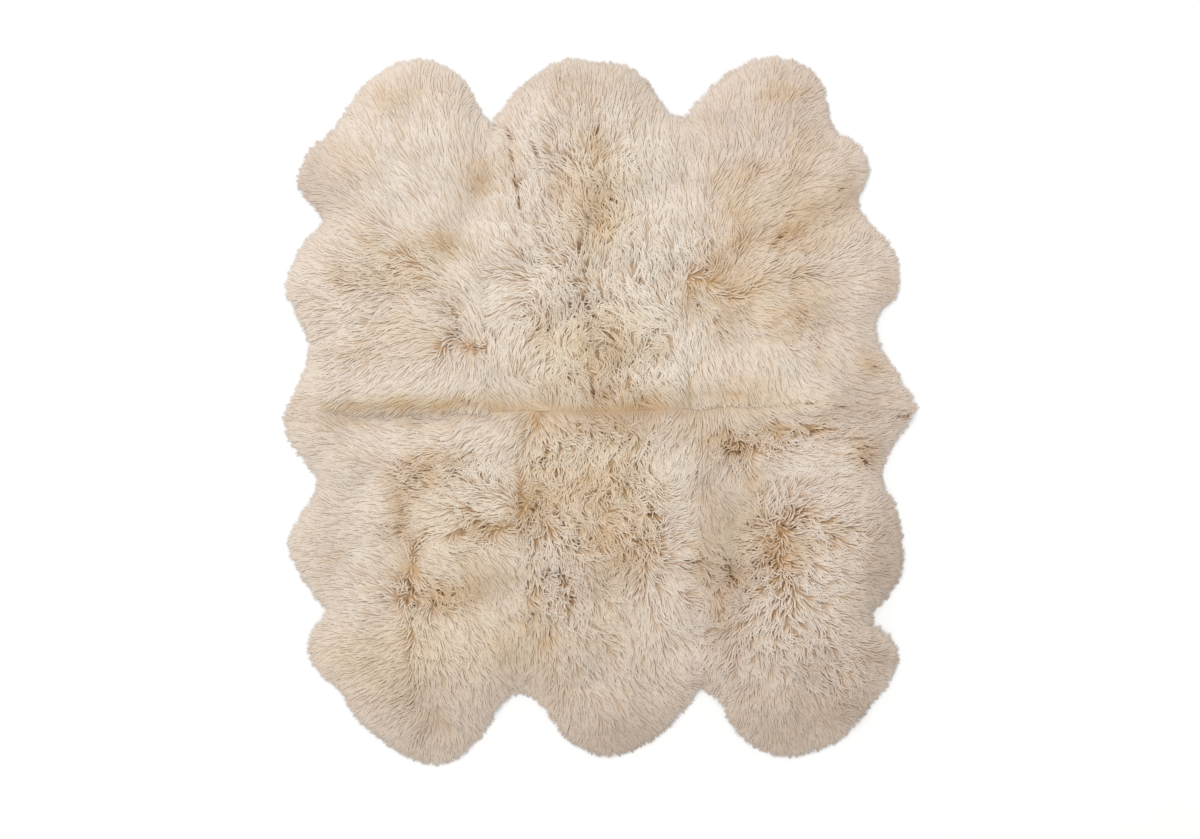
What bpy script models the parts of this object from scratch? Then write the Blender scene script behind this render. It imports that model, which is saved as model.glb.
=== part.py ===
"""Six-pelt sheepskin rug, lying flat on a floor with the wool up.

Six whole sheepskins, two rows of three, are trimmed along their inner edges and sewn
edge to edge. Each pelt is one closed solid: hide and wool as a lumpy slab, flat where it
rests on the floor, domed towards the middle of the pelt, drawn down along the seams, and
ending at its free rim in pointed locks of wool that lie on the floor.

Units in the tables are millimetres. +X is to the right, +Y is up the rug, +Z is up, and
the origin is on the floor under the middle of the rug.
"""
import math
from collections import namedtuple

import bmesh
import bpy
import numpy as np
from mathutils import Matrix, Vector, noise
from mathutils.geometry import delaunay_2d_cdt

MM = 0.001

# ---------------------------------------------------------------- driving dimensions, mm
SEAM_GAP = 0.3          # between two pelts that are sewn together
WOOL_CROWN = 54.0       # top of the wool over the middle of a pelt
WOOL_RIM = 13.0         # wool lying flat where the locks of the rim leave it
RIM_ROLL = 105.0        # how far in from the rim the wool takes to stand up
RIM_SHAPE = 0.75        # below 1 the wool rises steeply first and then levels out
LOCK_PITCH = 27.0       # root of one rim lock to the next
LOCK_REACH = 14.0       # from a lock's root to the mean outline of the pelt
LOCK_WAIST = 0.62       # width of a lock half-way out, as a share of its root
LOCK_STOOP = 0.6        # height of a lock half-way out, as a share of its root
LOCK_SHORTEST = 0.95    # shortest lock, as a share of LOCK_REACH
LOCK_LONGEST = 1.6      # longest lock, which passes the mean outline
LOCK_SWAY = 0.28        # how far a tip wanders sideways, as a share of the pitch
SURFACE_PITCH = 27.0    # between the points that carry the lumps of the wool
SURFACE_JITTER = 0.22   # how far those points wander, as a share of their pitch
EDGE_CLEARANCE = 0.6    # and how near an edge they come, as a share of their pitch
TUSSOCK_SIZE = 92.0     # across one tuft of wool
TUSSOCK_RISE = 20.0     # from the foot of a tuft to its top
TUSSOCK_LEVEL = 0.30    # a tuft's height is from its middle, by squared distance in tufts:
TUSSOCK_SPAN = 0.55     # at this level it neither adds nor takes, and over this span it falls
RIPPLE_SIZE = 52.0      # finer unevenness
RIPPLE_RISE = 3.5
RIM_LUMPS = 0.35        # unevenness left at the rim, as a share of that on the crown
RIM_TURN = 24.0         # the outline is smoothed over this length to aim the locks
LOWEST_WOOL = 9.0       # nowhere is the slab thinner than this
SHARP_ANGLE = 70.0      # edges that turn by more than this are shaded as edges, degrees
CURVE_STEP = 4.0        # spacing of the points that stand for a curve
SEED = 7
INSIDE_ONLY = 1         # keep the triangles within the outline
SAME_POINT = 1e-4       # points closer than this are one

Knot = namedtuple("Knot", "x y")
Pelt = namedtuple("Pelt", "name wool_colour seams")
Seam = namedtuple("Seam", "valley width knots")
Parting = namedtuple("Parting", "x1 y1 x2 y2 width depth")
Swell = namedtuple("Swell", "x y radius rise")

# ------------------------------------------------------ free rims, anticlockwise from above
# Each row starts at the notch or corner where the pelt meets its neighbour. The rows between
# are the tips and hollows of the neck, the legs and the rump, out to the ends of the wool.
RIMS = {
    "pelt_top_middle": (
        Knot(215, 765), Knot(175, 785), Knot(125, 860), Knot(60, 905), Knot(0, 910),
        Knot(-100, 920), Knot(-195, 860), Knot(-260, 790)),
    "pelt_top_left": (
        Knot(-285, 750), Knot(-320, 805), Knot(-360, 875), Knot(-475, 920), Knot(-585, 880),
        Knot(-655, 805), Knot(-695, 740), Knot(-765, 675), Knot(-795, 590), Knot(-765, 535),
        Knot(-720, 505), Knot(-775, 440), Knot(-825, 325), Knot(-805, 265), Knot(-765, 180),
        Knot(-775, 105), Knot(-820, 25)),
    "pelt_bottom_left": (
        Knot(-833, -10), Knot(-810, -90), Knot(-775, -135), Knot(-740, -185), Knot(-760, -230),
        Knot(-800, -295), Knot(-820, -350), Knot(-790, -415), Knot(-750, -485), Knot(-715, -520),
        Knot(-745, -555), Knot(-770, -610), Knot(-740, -680), Knot(-675, -740), Knot(-650, -790),
        Knot(-580, -855), Knot(-515, -900), Knot(-425, -927), Knot(-365, -905), Knot(-305, -850),
        Knot(-250, -760)),
    "pelt_bottom_middle": (
        Knot(-205, -740), Knot(-155, -770), Knot(-115, -835), Knot(-50, -885), Knot(15, -905),
        Knot(105, -880), Knot(175, -830), Knot(230, -775)),
    "pelt_bottom_right": (
        Knot(265, -725), Knot(305, -760), Knot(345, -830), Knot(405, -885), Knot(490, -905),
        Knot(575, -885), Knot(645, -845), Knot(710, -765), Knot(755, -710), Knot(780, -630),
        Knot(745, -575), Knot(700, -545), Knot(740, -500), Knot(785, -430), Knot(790, -350),
        Knot(770, -240), Knot(735, -180), Knot(745, -135), Knot(780, -70)),
    "pelt_top_right": (
        Knot(832, -5), Knot(805, 55), Knot(745, 150), Knot(720, 215), Knot(735, 265),
        Knot(770, 290), Knot(785, 360), Knot(760, 435), Knot(710, 485), Knot(670, 540),
        Knot(690, 585), Knot(705, 635), Knot(665, 705), Knot(615, 725), Knot(595, 795),
        Knot(580, 855), Knot(520, 910), Knot(440, 925), Knot(350, 895), Knot(255, 815)),
}

# ------------------------------------------------------------------------------- seams
# The long seam joins the two rows and is drawn in stretches, so that each pelt ends on one.
SEAMS = {
    "row_left": Seam(22, 42, (Knot(-833, -10), Knot(-780, 5), Knot(-675, -5), Knot(-575, -20),
                              Knot(-445, -10), Knot(-290, -4))),
    "row_left_step": Seam(17, 40, (Knot(-290, -4), Knot(-205, 0))),
    "row_middle": Seam(12, 38, (Knot(-205, 0), Knot(0, -2), Knot(235, 5))),
    "row_right_step": Seam(12, 38, (Knot(235, 5), Knot(250, 6))),
    "row_right": Seam(14, 40, (Knot(250, 6), Knot(520, 18), Knot(700, 4), Knot(832, -5))),
    "top_left": Seam(9, 40, (Knot(-285, 750), Knot(-296, 390), Knot(-290, -4))),
    "top_right": Seam(9, 40, (Knot(215, 765), Knot(222, 390), Knot(235, 5))),
    "bottom_left": Seam(9, 40, (Knot(-205, 0), Knot(-202, -390), Knot(-205, -740))),
    "bottom_right": Seam(9, 40, (Knot(250, 6), Knot(241, -360), Knot(265, -725))),
}

# Each pelt's inner edge goes on from the end of its rim, anticlockwise, along the seams that
# it is sewn by. A seam with a minus sign is followed from its end to its start.
PELTS = (
    Pelt("pelt_top_left", "#DCCDB6", ("row_left", "-top_left")),
    Pelt("pelt_top_middle", "#DECFB0", ("top_left", "row_left_step", "row_middle", "-top_right")),
    Pelt("pelt_top_right", "#D9C8B6", ("top_right", "row_right_step", "row_right")),
    Pelt("pelt_bottom_left", "#DDCDB4", ("-bottom_left", "-row_left_step", "-row_left")),
    Pelt("pelt_bottom_middle", "#DBCBB0", ("-bottom_right", "-row_right_step", "-row_middle",
                                           "bottom_left")),
    Pelt("pelt_bottom_right", "#D6C6B4", ("-row_right", "bottom_right")),
)
RIM_ORDER = ("pelt_top_right", "pelt_top_middle", "pelt_top_left",
             "pelt_bottom_left", "pelt_bottom_middle", "pelt_bottom_right")

# ------------------------------------------------------------------- forms in the wool
# Lines where the wool parts or creases, each a soft trough.
PARTINGS = (
    Parting(-520, 308, -417, 308, 20, 13),      # top left
    Parting(-386, 274, -352, 183, 20, 12),
    Parting(-470, 822, -352, 842, 18, 8),
    Parting(-20, 443, -8, 168, 22, 14),         # top middle
    Parting(-235, 720, -225, 650, 18, 10),
    Parting(-105, 865, -100, 800, 18, 9),
    Parting(400, 452, 505, 458, 20, 12),        # top right
    Parting(270, 470, 330, 380, 22, 9),
    Parting(-470, -150, -440, -210, 22, 14),    # bottom left
    Parting(-510, -305, -490, -360, 22, 13),
    Parting(-500, -455, -478, -530, 22, 12),
    Parting(-180, -40, -172, -390, 22, 13),     # bottom middle
    Parting(-178, -520, -152, -620, 22, 12),
    Parting(262, -48, 415, -56, 20, 13),        # bottom right
    Parting(415, -56, 675, -72, 20, 14),
    Parting(300, -360, 372, -480, 24, 12),
)
# Tufts that stand proud and hollows that sink, wider than one tussock.
SWELLS = (
    Swell(-482, 430, 75, 9),        # top left, curls
    Swell(-560, 640, 120, 5),
    Swell(-87, 645, 60, -9),        # top middle, whorl
    Swell(60, 120, 70, -8),
    Swell(-150, 330, 110, 6),
    Swell(500, 640, 120, 5),        # top right
    Swell(360, 300, 70, -7),
    Swell(-395, -300, 85, 9),       # bottom left, curls
    Swell(-600, -360, 110, 4),
    Swell(90, -330, 120, 6),        # bottom middle
    Swell(493, -272, 60, -9),       # bottom right, whorl
    Swell(560, -480, 120, 6),
)


# ---------------------------------------------------------------------- smooth curves
def centripetal_span(a, b, c, d, steps):
    """Points of the smooth curve from b to c, b included and c left to the next span."""
    ta = 0.0
    tb = ta + math.sqrt(np.linalg.norm(b - a))
    tc = tb + math.sqrt(np.linalg.norm(c - b))
    td = tc + math.sqrt(np.linalg.norm(d - c))
    t = np.linspace(tb, tc, steps, endpoint=False)[:, None]
    ab = ((tb - t) * a + (t - ta) * b) / (tb - ta)
    bc = ((tc - t) * b + (t - tb) * c) / (tc - tb)
    cd = ((td - t) * c + (t - tc) * d) / (td - tc)
    abc = ((tc - t) * ab + (t - ta) * bc) / (tc - ta)
    bcd = ((td - t) * bc + (t - tb) * cd) / (td - tb)
    return ((tc - t) * abc + (t - tb) * bcd) / (tc - tb)


def smooth_curve(knots, closed=False):
    """Points about CURVE_STEP apart through the knots, and the index of each knot among them."""
    p = np.array(knots, dtype=float)
    if closed:
        padded = np.vstack([p[-1:], p, p[:2]])
    else:
        padded = np.vstack([2 * p[0] - p[1], p, 2 * p[-1] - p[-2]])
    spans, marks, total = [], [], 0
    for i in range(1, len(padded) - 2):
        a, b, c, d = padded[i - 1:i + 3]
        steps = max(2, round(np.linalg.norm(c - b) / CURVE_STEP))
        spans.append(centripetal_span(a, b, c, d, steps))
        marks.append(total)
        total += steps
    marks.append(total)
    last = p[:1] if closed else p[-1:]
    return np.vstack(spans + [last]), marks


def arc_lengths(points):
    """Distance along a run of points, from 0 at the first."""
    return np.concatenate([[0.0], np.cumsum(np.linalg.norm(np.diff(points, axis=0), axis=1))])


def at_lengths(points, lengths, wanted):
    """Positions on a run of points at the wanted distances along it."""
    return np.stack([np.interp(wanted, lengths, points[:, k]) for k in range(2)], axis=1)


# ------------------------------------------------------------------------ the outlines
def rug_outline():
    """The whole outline as one closed curve: points, the locks' roots inside it, and marks."""
    knots = [knot for name in RIM_ORDER for knot in RIMS[name]]
    reach, marks = smooth_curve(knots, closed=True)
    loop = reach[:-1]
    ahead = round(RIM_TURN / CURVE_STEP)
    along = np.roll(loop, -ahead, axis=0) - np.roll(loop, ahead, axis=0)
    along /= np.linalg.norm(along, axis=1)[:, None]
    inward = np.stack([-along[:, 1], along[:, 0]], axis=1)
    roots = loop + inward * LOCK_REACH
    starts, count = {}, 0
    for name in RIM_ORDER:
        starts[name] = marks[count]
        count += len(RIMS[name])
    return reach, np.vstack([roots, roots[:1]]), starts


def rim_of(name, reach, roots, starts):
    """One pelt's rim at its lock pitch: points on the outline and the locks' roots."""
    order = RIM_ORDER.index(name)
    first = starts[name]
    last = len(reach) - 1
    if order + 1 < len(RIM_ORDER):
        last = starts[RIM_ORDER[order + 1]]
    outer, inner = reach[first:last + 1], roots[first:last + 1]
    lengths = arc_lengths(outer)
    wanted = np.linspace(0, lengths[-1], round(lengths[-1] / LOCK_PITCH) + 1)
    return at_lengths(outer, lengths, wanted), at_lengths(inner, lengths, wanted)


def seam_lines(root_at):
    """Each seam's fine curve, which ends at a root where it meets the outline."""
    return {name: smooth_curve([root_at.get(knot, knot) for knot in seam.knots])[0]
            for name, seam in SEAMS.items()}


def stitched_edge(pelt, lines):
    """A pelt's edge along its seams at the surface pitch, without its two end points."""
    runs = []
    for seam in pelt.seams:
        curve = lines[seam.lstrip("-")]
        lengths = arc_lengths(curve)
        count = max(1, round(lengths[-1] / SURFACE_PITCH))
        run = at_lengths(curve, lengths, np.linspace(0, lengths[-1], count + 1))
        runs.append(run[::-1][1:] if seam.startswith("-") else run[1:])
    return np.vstack(runs)[:-1]


def drawn_in(ring, distance):
    """A closed anticlockwise ring with every edge moved inwards by the distance."""
    before = ring - np.roll(ring, 1, axis=0)
    after = np.roll(before, -1, axis=0)
    normals = []
    for edge in (before, after):
        unit = edge / np.linalg.norm(edge, axis=1)[:, None]
        normals.append(np.stack([-unit[:, 1], unit[:, 0]], axis=1))
    one, two = normals
    spread = 1.0 + np.sum(one * two, axis=1)[:, None]
    return ring + (one + two) / spread * distance


# --------------------------------------------------------------------- height of the wool
def distance_to(points, line):
    """Distance from each point to the nearest of a line's own points."""
    gaps = points[:, None, :] - line[None, :, :]
    return np.sqrt((gaps ** 2).sum(axis=2)).min(axis=1)


def distance_to_segment(points, start, end):
    """Distance from each point to the straight line between start and end."""
    start, end = np.array(start, float), np.array(end, float)
    along = end - start
    t = np.clip(((points - start) @ along) / (along @ along), 0, 1)
    return np.linalg.norm(points - start - t[:, None] * along, axis=1)


def tussocks(x, y):
    """Tufts of wool as domes with creases between them, and finer ripples over both."""
    near, _ = noise.voronoi(Vector((x / TUSSOCK_SIZE, y / TUSSOCK_SIZE, SEED)))
    tuft = (TUSSOCK_LEVEL - near[0] ** 2) / TUSSOCK_SPAN * TUSSOCK_RISE
    ripple = noise.noise(Vector((x / RIPPLE_SIZE, y / RIPPLE_SIZE, -SEED))) * RIPPLE_RISE
    return tuft + ripple


def wool_heights(points, outline, seams):
    """Height of the wool above the floor at each point."""
    rise = np.clip(distance_to(points, outline) / RIM_ROLL, 0, 1)
    stand = np.sin(rise * math.pi / 2) ** RIM_SHAPE
    height = WOOL_RIM + (WOOL_CROWN - WOOL_RIM) * stand
    for name, line in seams.items():
        seam = SEAMS[name]
        height -= seam.valley * stand * np.exp(-(distance_to(points, line) / seam.width) ** 2)
    for part in PARTINGS:
        away = distance_to_segment(points, (part.x1, part.y1), (part.x2, part.y2))
        height -= part.depth * np.exp(-(away / part.width) ** 2)
    for swell in SWELLS:
        away = np.hypot(points[:, 0] - swell.x, points[:, 1] - swell.y)
        height += swell.rise * np.exp(-(away / swell.radius) ** 2)
    lumps = np.array([tussocks(x, y) for x, y in points])
    height += lumps * (RIM_LUMPS + (1 - RIM_LUMPS) * stand)
    return np.maximum(height, LOWEST_WOOL)


# ------------------------------------------------------------------------ one pelt's solid
def inside(points, ring):
    """Which points lie within a closed ring."""
    x, y = points[:, 0][:, None], points[:, 1][:, None]
    x1, y1 = ring[:, 0], ring[:, 1]
    x2, y2 = np.roll(x1, -1), np.roll(y1, -1)
    crosses = (y1 > y) != (y2 > y)
    with np.errstate(divide="ignore", invalid="ignore"):
        left_of = x < (x2 - x1) * (y - y1) / (y2 - y1) + x1
    return (crosses & left_of).sum(axis=1) % 2 == 1


def surface_points(ring, chance):
    """Points spread over a pelt in staggered rows, each a little out of place."""
    low, high = ring.min(axis=0), ring.max(axis=0)
    row_step = SURFACE_PITCH * math.sqrt(3) / 2
    rows = []
    for row, y in enumerate(np.arange(low[1], high[1], row_step)):
        x = np.arange(low[0] + (row % 2) * SURFACE_PITCH / 2, high[0], SURFACE_PITCH)
        rows.append(np.stack([x, np.full(len(x), y)], axis=1))
    points = np.vstack(rows)
    points += chance.uniform(-1, 1, points.shape) * SURFACE_PITCH * SURFACE_JITTER
    points = points[inside(points, ring)]
    return points[distance_to(points, filled_ring(ring)) > SURFACE_PITCH * EDGE_CLEARANCE]


def filled_ring(ring):
    """A closed ring with points added along its straight edges, for measuring from."""
    closed = np.vstack([ring, ring[:1]])
    lengths = arc_lengths(closed)
    return at_lengths(closed, lengths, np.arange(0, lengths[-1], CURVE_STEP))


def add_top(bm, ring, inner, outline, seams):
    """The wool's surface. Returns the top vertex over each point of the ring."""
    flat = [Vector(p) for p in np.vstack([ring, inner])]
    made = delaunay_2d_cdt(flat, [], [list(range(len(ring)))], INSIDE_ONLY, SAME_POINT)
    coords, faces, sources = made[0], made[2], made[3]
    points = np.array([[v.x, v.y] for v in coords])
    heights = wool_heights(points, outline, seams)
    verts = [bm.verts.new((x * MM, y * MM, z * MM)) for (x, y), z in zip(points, heights)]
    for face in faces:
        bm.faces.new([verts[i] for i in face])
    over = {}
    for vert, inputs in zip(verts, sources):
        for i in inputs:
            over[i] = vert
    return [over[i] for i in range(len(ring))]


def add_lock(bm, corners, reach, chance):
    """One four-sided lock of the rim, resting on the floor. Returns its floor vertices."""
    (low_a, top_a), (low_b, top_b) = corners
    root_a, root_b = (np.array(v.co[:2]) / MM for v in (low_a, low_b))
    length = chance.uniform(LOCK_SHORTEST, LOCK_LONGEST)
    sway = chance.uniform(-LOCK_SWAY, LOCK_SWAY)
    side_a = root_a + (reach[0] - root_a) * length / 2
    side_b = root_b + (reach[1] - root_b) * length / 2
    middle = (side_a + side_b) / 2 + (side_b - side_a) * sway / 2
    waist = (side_b - side_a) * LOCK_WAIST / 2
    tip = (root_a + root_b) / 2 * (1 - length) + (reach[0] + reach[1]) / 2 * length
    tip = tip + (reach[1] - reach[0]) * sway
    height = (top_a.co.z + top_b.co.z) / 2 / MM * LOCK_STOOP

    def vert(point, z):
        return bm.verts.new((point[0] * MM, point[1] * MM, z * MM))

    mid_a, mid_b, end = vert(middle - waist, 0), vert(middle + waist, 0), vert(tip, 0)
    up_a, up_b = vert(middle - waist, height), vert(middle + waist, height)
    for loop in ((low_a, mid_a, up_a, top_a), (top_a, up_a, up_b, top_b),
                 (top_b, up_b, mid_b, low_b), (mid_a, end, up_a), (up_a, end, up_b),
                 (up_b, end, mid_b)):
        bm.faces.new(loop)
    return [mid_a, end, mid_b]


def pelt_mesh(name, ring, rim, outline, seams, chance):
    """One pelt as a closed mesh: wool on top, walls along its seams, locks along its rim."""
    locks = len(rim) - 1
    bm = bmesh.new()
    tops = add_top(bm, ring, surface_points(ring, chance), outline, seams)
    lows = [bm.verts.new((x * MM, y * MM, 0)) for x, y in ring]
    underside = []
    for i, (low, top) in enumerate(zip(lows, tops)):
        after = (i + 1) % len(ring)
        underside.append(low)
        if i < locks:
            corners = (low, top), (lows[after], tops[after])
            underside += add_lock(bm, corners, rim[i:i + 2], chance)
        else:
            bm.faces.new((low, lows[after], tops[after], top))
    bm.faces.new(underside)
    bmesh.ops.recalc_face_normals(bm, faces=bm.faces)
    mesh = bpy.data.meshes.new(name)
    bm.to_mesh(mesh)
    bm.free()
    return mesh


# ---------------------------------------------------------------------------- the model
def linear_colour(code):
    """A #RRGGBB colour as linear red, green, blue and alpha."""
    parts = [int(code[i:i + 2], 16) / 255 for i in (1, 3, 5)]
    return [p / 12.92 if p <= 0.04045 else ((p + 0.055) / 1.055) ** 2.4 for p in parts] + [1.0]


def wool_material(name, colour):
    """Tanned sheepskin wool: pale, soft and without gloss."""
    material = bpy.data.materials.new(name)
    material.use_nodes = True
    surface = material.node_tree.nodes["Principled BSDF"]
    surface.inputs["Base Color"].default_value = linear_colour(colour)
    surface.inputs["Roughness"].default_value = 0.95
    surface.inputs["Metallic"].default_value = 0.0
    surface.inputs["Sheen Weight"].default_value = 0.4
    return material


def add_pelt(pelt, reach, roots, starts, lines, chance):
    """Models one pelt and puts it in the scene. Returns how many locks its rim has."""
    rim, rim_roots = rim_of(pelt.name, reach, roots, starts)
    ring = drawn_in(np.vstack([rim_roots, stitched_edge(pelt, lines)]), SEAM_GAP / 2)
    mesh = pelt_mesh(pelt.name, ring, rim, roots, lines, chance)
    mesh.shade_smooth()
    mesh.set_sharp_from_angle(angle=math.radians(SHARP_ANGLE))
    mesh.materials.append(wool_material(pelt.name + "_wool", pelt.wool_colour))
    bpy.context.collection.objects.link(bpy.data.objects.new(pelt.name, mesh))
    return len(rim) - 1


def centre_on_origin():
    """Moves the pelts' meshes together, so that the rug's box stands centred on the origin."""
    meshes = [thing.data for thing in bpy.data.objects]
    points = np.array([vert.co for mesh in meshes for vert in mesh.vertices])
    middle = (points.min(axis=0) + points.max(axis=0)) / 2
    for mesh in meshes:
        mesh.transform(Matrix.Translation((-middle[0], -middle[1], 0)))


def build_rug():
    """Clears the scene and models the six pelts."""
    for old in list(bpy.data.objects):
        bpy.data.objects.remove(old, do_unlink=True)
    reach, roots, starts = rug_outline()
    root_at = {RIMS[name][0]: tuple(roots[starts[name]]) for name in RIM_ORDER}
    lines = seam_lines(root_at)
    chance = np.random.default_rng(SEED)
    locks = sum(add_pelt(pelt, reach, roots, starts, lines, chance) for pelt in PELTS)
    centre_on_origin()
    print("rim locks:", locks)


build_rug()
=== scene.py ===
# %% [markdown]
# # A rug of six sheepskins
#
# The rug is six whole sheepskins, two rows of three, sewn edge to edge and laid flat with the
# wool up. Each skin keeps its own outline at the rim of the rug: the neck or the rump between
# the legs. What the eye sees is wool and nothing else, so nearly all the work here goes into
# how wool lies: which way it is combed, how it gathers into locks, where it parts or curls,
# and how it thins out at the rim.
#
# The frame holds the six skins as plain lumpy solids at their real size. Each is dressed here
# with two pieces: a thin hide that lies on the floor, and the fleece that grows on it.

# %% The frame
import math
from collections import namedtuple

import bmesh
import bpy
import numpy as np
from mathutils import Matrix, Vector, noise
from mathutils.bvhtree import BVHTree
from mathutils.geometry import delaunay_2d_cdt


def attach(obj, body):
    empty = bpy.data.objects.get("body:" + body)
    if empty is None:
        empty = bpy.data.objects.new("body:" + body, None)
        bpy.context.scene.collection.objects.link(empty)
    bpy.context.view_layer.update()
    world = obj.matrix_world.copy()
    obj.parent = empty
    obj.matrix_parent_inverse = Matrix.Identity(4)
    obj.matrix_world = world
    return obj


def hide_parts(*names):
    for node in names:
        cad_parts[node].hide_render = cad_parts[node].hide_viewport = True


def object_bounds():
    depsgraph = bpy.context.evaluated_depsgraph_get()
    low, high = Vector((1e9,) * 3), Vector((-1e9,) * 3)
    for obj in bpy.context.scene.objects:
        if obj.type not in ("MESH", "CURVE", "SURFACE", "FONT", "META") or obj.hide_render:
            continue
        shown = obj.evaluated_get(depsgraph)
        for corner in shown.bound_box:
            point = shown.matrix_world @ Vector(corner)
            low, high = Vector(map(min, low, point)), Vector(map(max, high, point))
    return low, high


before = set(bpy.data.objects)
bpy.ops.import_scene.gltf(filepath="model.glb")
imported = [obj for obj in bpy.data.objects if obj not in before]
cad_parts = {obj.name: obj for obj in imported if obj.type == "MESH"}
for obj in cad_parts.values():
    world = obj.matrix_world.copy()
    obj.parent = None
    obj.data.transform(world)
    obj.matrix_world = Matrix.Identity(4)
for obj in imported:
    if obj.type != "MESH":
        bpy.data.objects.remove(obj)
cad_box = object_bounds()
MM = 0.001
PELTS = sorted(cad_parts)
print("pelts:", PELTS)
print("box, mm:", [round(side / MM) for side in cad_box[1] - cad_box[0]])

# %% [markdown]
# ## Camera
#
# The photo was taken from straight above, with so long a lens that the rug shows no
# perspective. A camera can be made flat (orthographic) or given a long lens and moved far
# away. The long lens is used, since it also gives natural views from the side.

# %% Camera
PHOTO_WIDTH_PX = 1200
MM_PER_PX = 2.6                 # real size of one pixel of the photo at the rug
LENS = 100.0                    # mm, on a sensor 36 mm wide
SENSOR = 36.0
AIM = Vector((3, -22, 30)) * MM         # the point of the rug under the middle of the photo

view_width = PHOTO_WIDTH_PX * MM_PER_PX * MM
camera = bpy.data.objects.new("camera", bpy.data.cameras.new("camera"))
camera.data.lens = LENS
camera.data.sensor_width = SENSOR
camera.location = AIM + Vector((0, 0, view_width * LENS / SENSOR))
bpy.context.scene.collection.objects.link(camera)
bpy.context.scene.camera = camera
print("camera height, m:", round(camera.location.z, 2))

# %% [markdown]
# ## Colours and nodes
#
# Colours are written as sRGB hex values, as they are read off a screen, and turned to the
# linear values that a shader works in. Node trees, for shapes as for materials, are long to
# write, so one small function adds a node with its settings and its links.


# %% Helpers for colours and nodes
def linear(code):
    """A hex colour such as "F0E6D4" as linear red, green, blue and alpha, by sRGB's own curve."""
    parts = [int(code[i:i + 2], 16) / 255 for i in (0, 2, 4)]
    return [p / 12.92 if p <= 0.04045 else ((p + 0.055) / 1.055) ** 2.4 for p in parts] + [1.0]


def add(tree, kind, inputs=(), **settings):
    """Adds a node. inputs pairs a socket, by name or number, with a value or a link."""
    node = tree.nodes.new(kind)
    for name, value in settings.items():
        setattr(node, name, value)
    usable = [socket for socket in node.inputs if socket.enabled]
    for key, value in dict(inputs).items():
        socket = usable[key] if isinstance(key, int) else next(s for s in usable if s.name == key)
        if isinstance(value, bpy.types.NodeSocket):
            tree.links.new(value, socket)
        else:
            socket.default_value = value
    return next((socket for socket in node.outputs if socket.enabled), node)


print("cream, linear:", [round(c, 3) for c in linear("F0E6D4")])

# %% [markdown]
# ## Floor and light
#
# The rug lies on a plain pale floor under soft studio light. A large lamp to the upper left
# models the locks, since it strikes them from the side, and an even white surround fills the
# hollows so that they stay warm and never go black.

# %% Floor and light
FLOOR_SIZE = 60.0
KEY_PLACE = Vector((-5.0, 5.4, 9.5))
KEY_SIZE = 8.0
KEY_WATTS = 590.0
SURROUND = 0.80


def plane(name, size):
    """A flat square in the floor's plane."""
    mesh = bpy.data.meshes.new(name)
    half = size / 2
    corners = [(-half, -half, 0), (half, -half, 0), (half, half, 0), (-half, half, 0)]
    mesh.from_pydata(corners, [], [(0, 1, 2, 3)])
    made = bpy.data.objects.new(name, mesh)
    bpy.context.scene.collection.objects.link(made)
    return made


floor = plane("floor", FLOOR_SIZE)
paint = bpy.data.materials.new("matt_white_floor_paint")
paint.use_nodes = True
coat = paint.node_tree.nodes["Principled BSDF"]
coat.inputs["Base Color"].default_value = linear("FDFDFC")
coat.inputs["Roughness"].default_value = 0.9
floor.data.materials.append(paint)

key = bpy.data.objects.new("key_lamp", bpy.data.lights.new("key_lamp", "AREA"))
key.data.size = KEY_SIZE
key.data.energy = KEY_WATTS
key.location = KEY_PLACE
key.rotation_euler = (-KEY_PLACE).to_track_quat("-Z", "Y").to_euler()
bpy.context.scene.collection.objects.link(key)

world = bpy.data.worlds.new("surround")
world.use_nodes = True
world.node_tree.nodes["Background"].inputs["Color"].default_value = linear("FFFFFF")
world.node_tree.nodes["Background"].inputs["Strength"].default_value = SURROUND
bpy.context.scene.world = world
bpy.context.scene.view_settings.view_transform = "Standard"
print("key lamp, degrees above the floor:", round(math.degrees(math.asin(KEY_PLACE.normalized().z))))

# %% [markdown]
# ## Outlines, from the frame
#
# Every piece here follows the outline of its skin, so that is read from the frame first. A
# frame solid stands on its flat underside, whose border runs along the seams and, at the free
# rim, out and back round each pointed lock. Leaving the locks out gives the smooth ring where
# they are rooted. The frame's meshes are loose triangles and are never changed, so a copy is
# merged and read.

# %% Reading a pelt's ring
SAME_POINT = 1e-5       # metres, within which two points are one
Ring = namedtuple("Ring", "points free")


def merged_copy(name):
    """A bmesh of a frame node with its loose triangles joined."""
    bm = bmesh.new()
    bm.from_mesh(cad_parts[name].data)
    bmesh.ops.remove_doubles(bm, verts=bm.verts, dist=SAME_POINT)
    return bm


def underside_border(bm):
    """The underside's border vertices in order, anticlockwise from above."""
    flat = {f for f in bm.faces if max(v.co.z for v in f.verts) < SAME_POINT}
    after = {}
    for face in flat:
        for loop in face.loops:
            if not any(f in flat for f in loop.edge.link_faces if f is not face):
                after[loop.link_loop_next.vert] = loop.vert
    border = [min(after, key=lambda vert: tuple(vert.co))]      # the same start in each run
    while after[border[-1]] is not border[0]:
        border.append(after[border[-1]])
    return border


def has_wall(vert):
    """Whether an edge rises straight up from the vertex."""
    ups = [edge.other_vert(vert).co - vert.co for edge in vert.link_edges]
    return any(up.z > MM and up.to_2d().length < SAME_POINT for up in ups)


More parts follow.
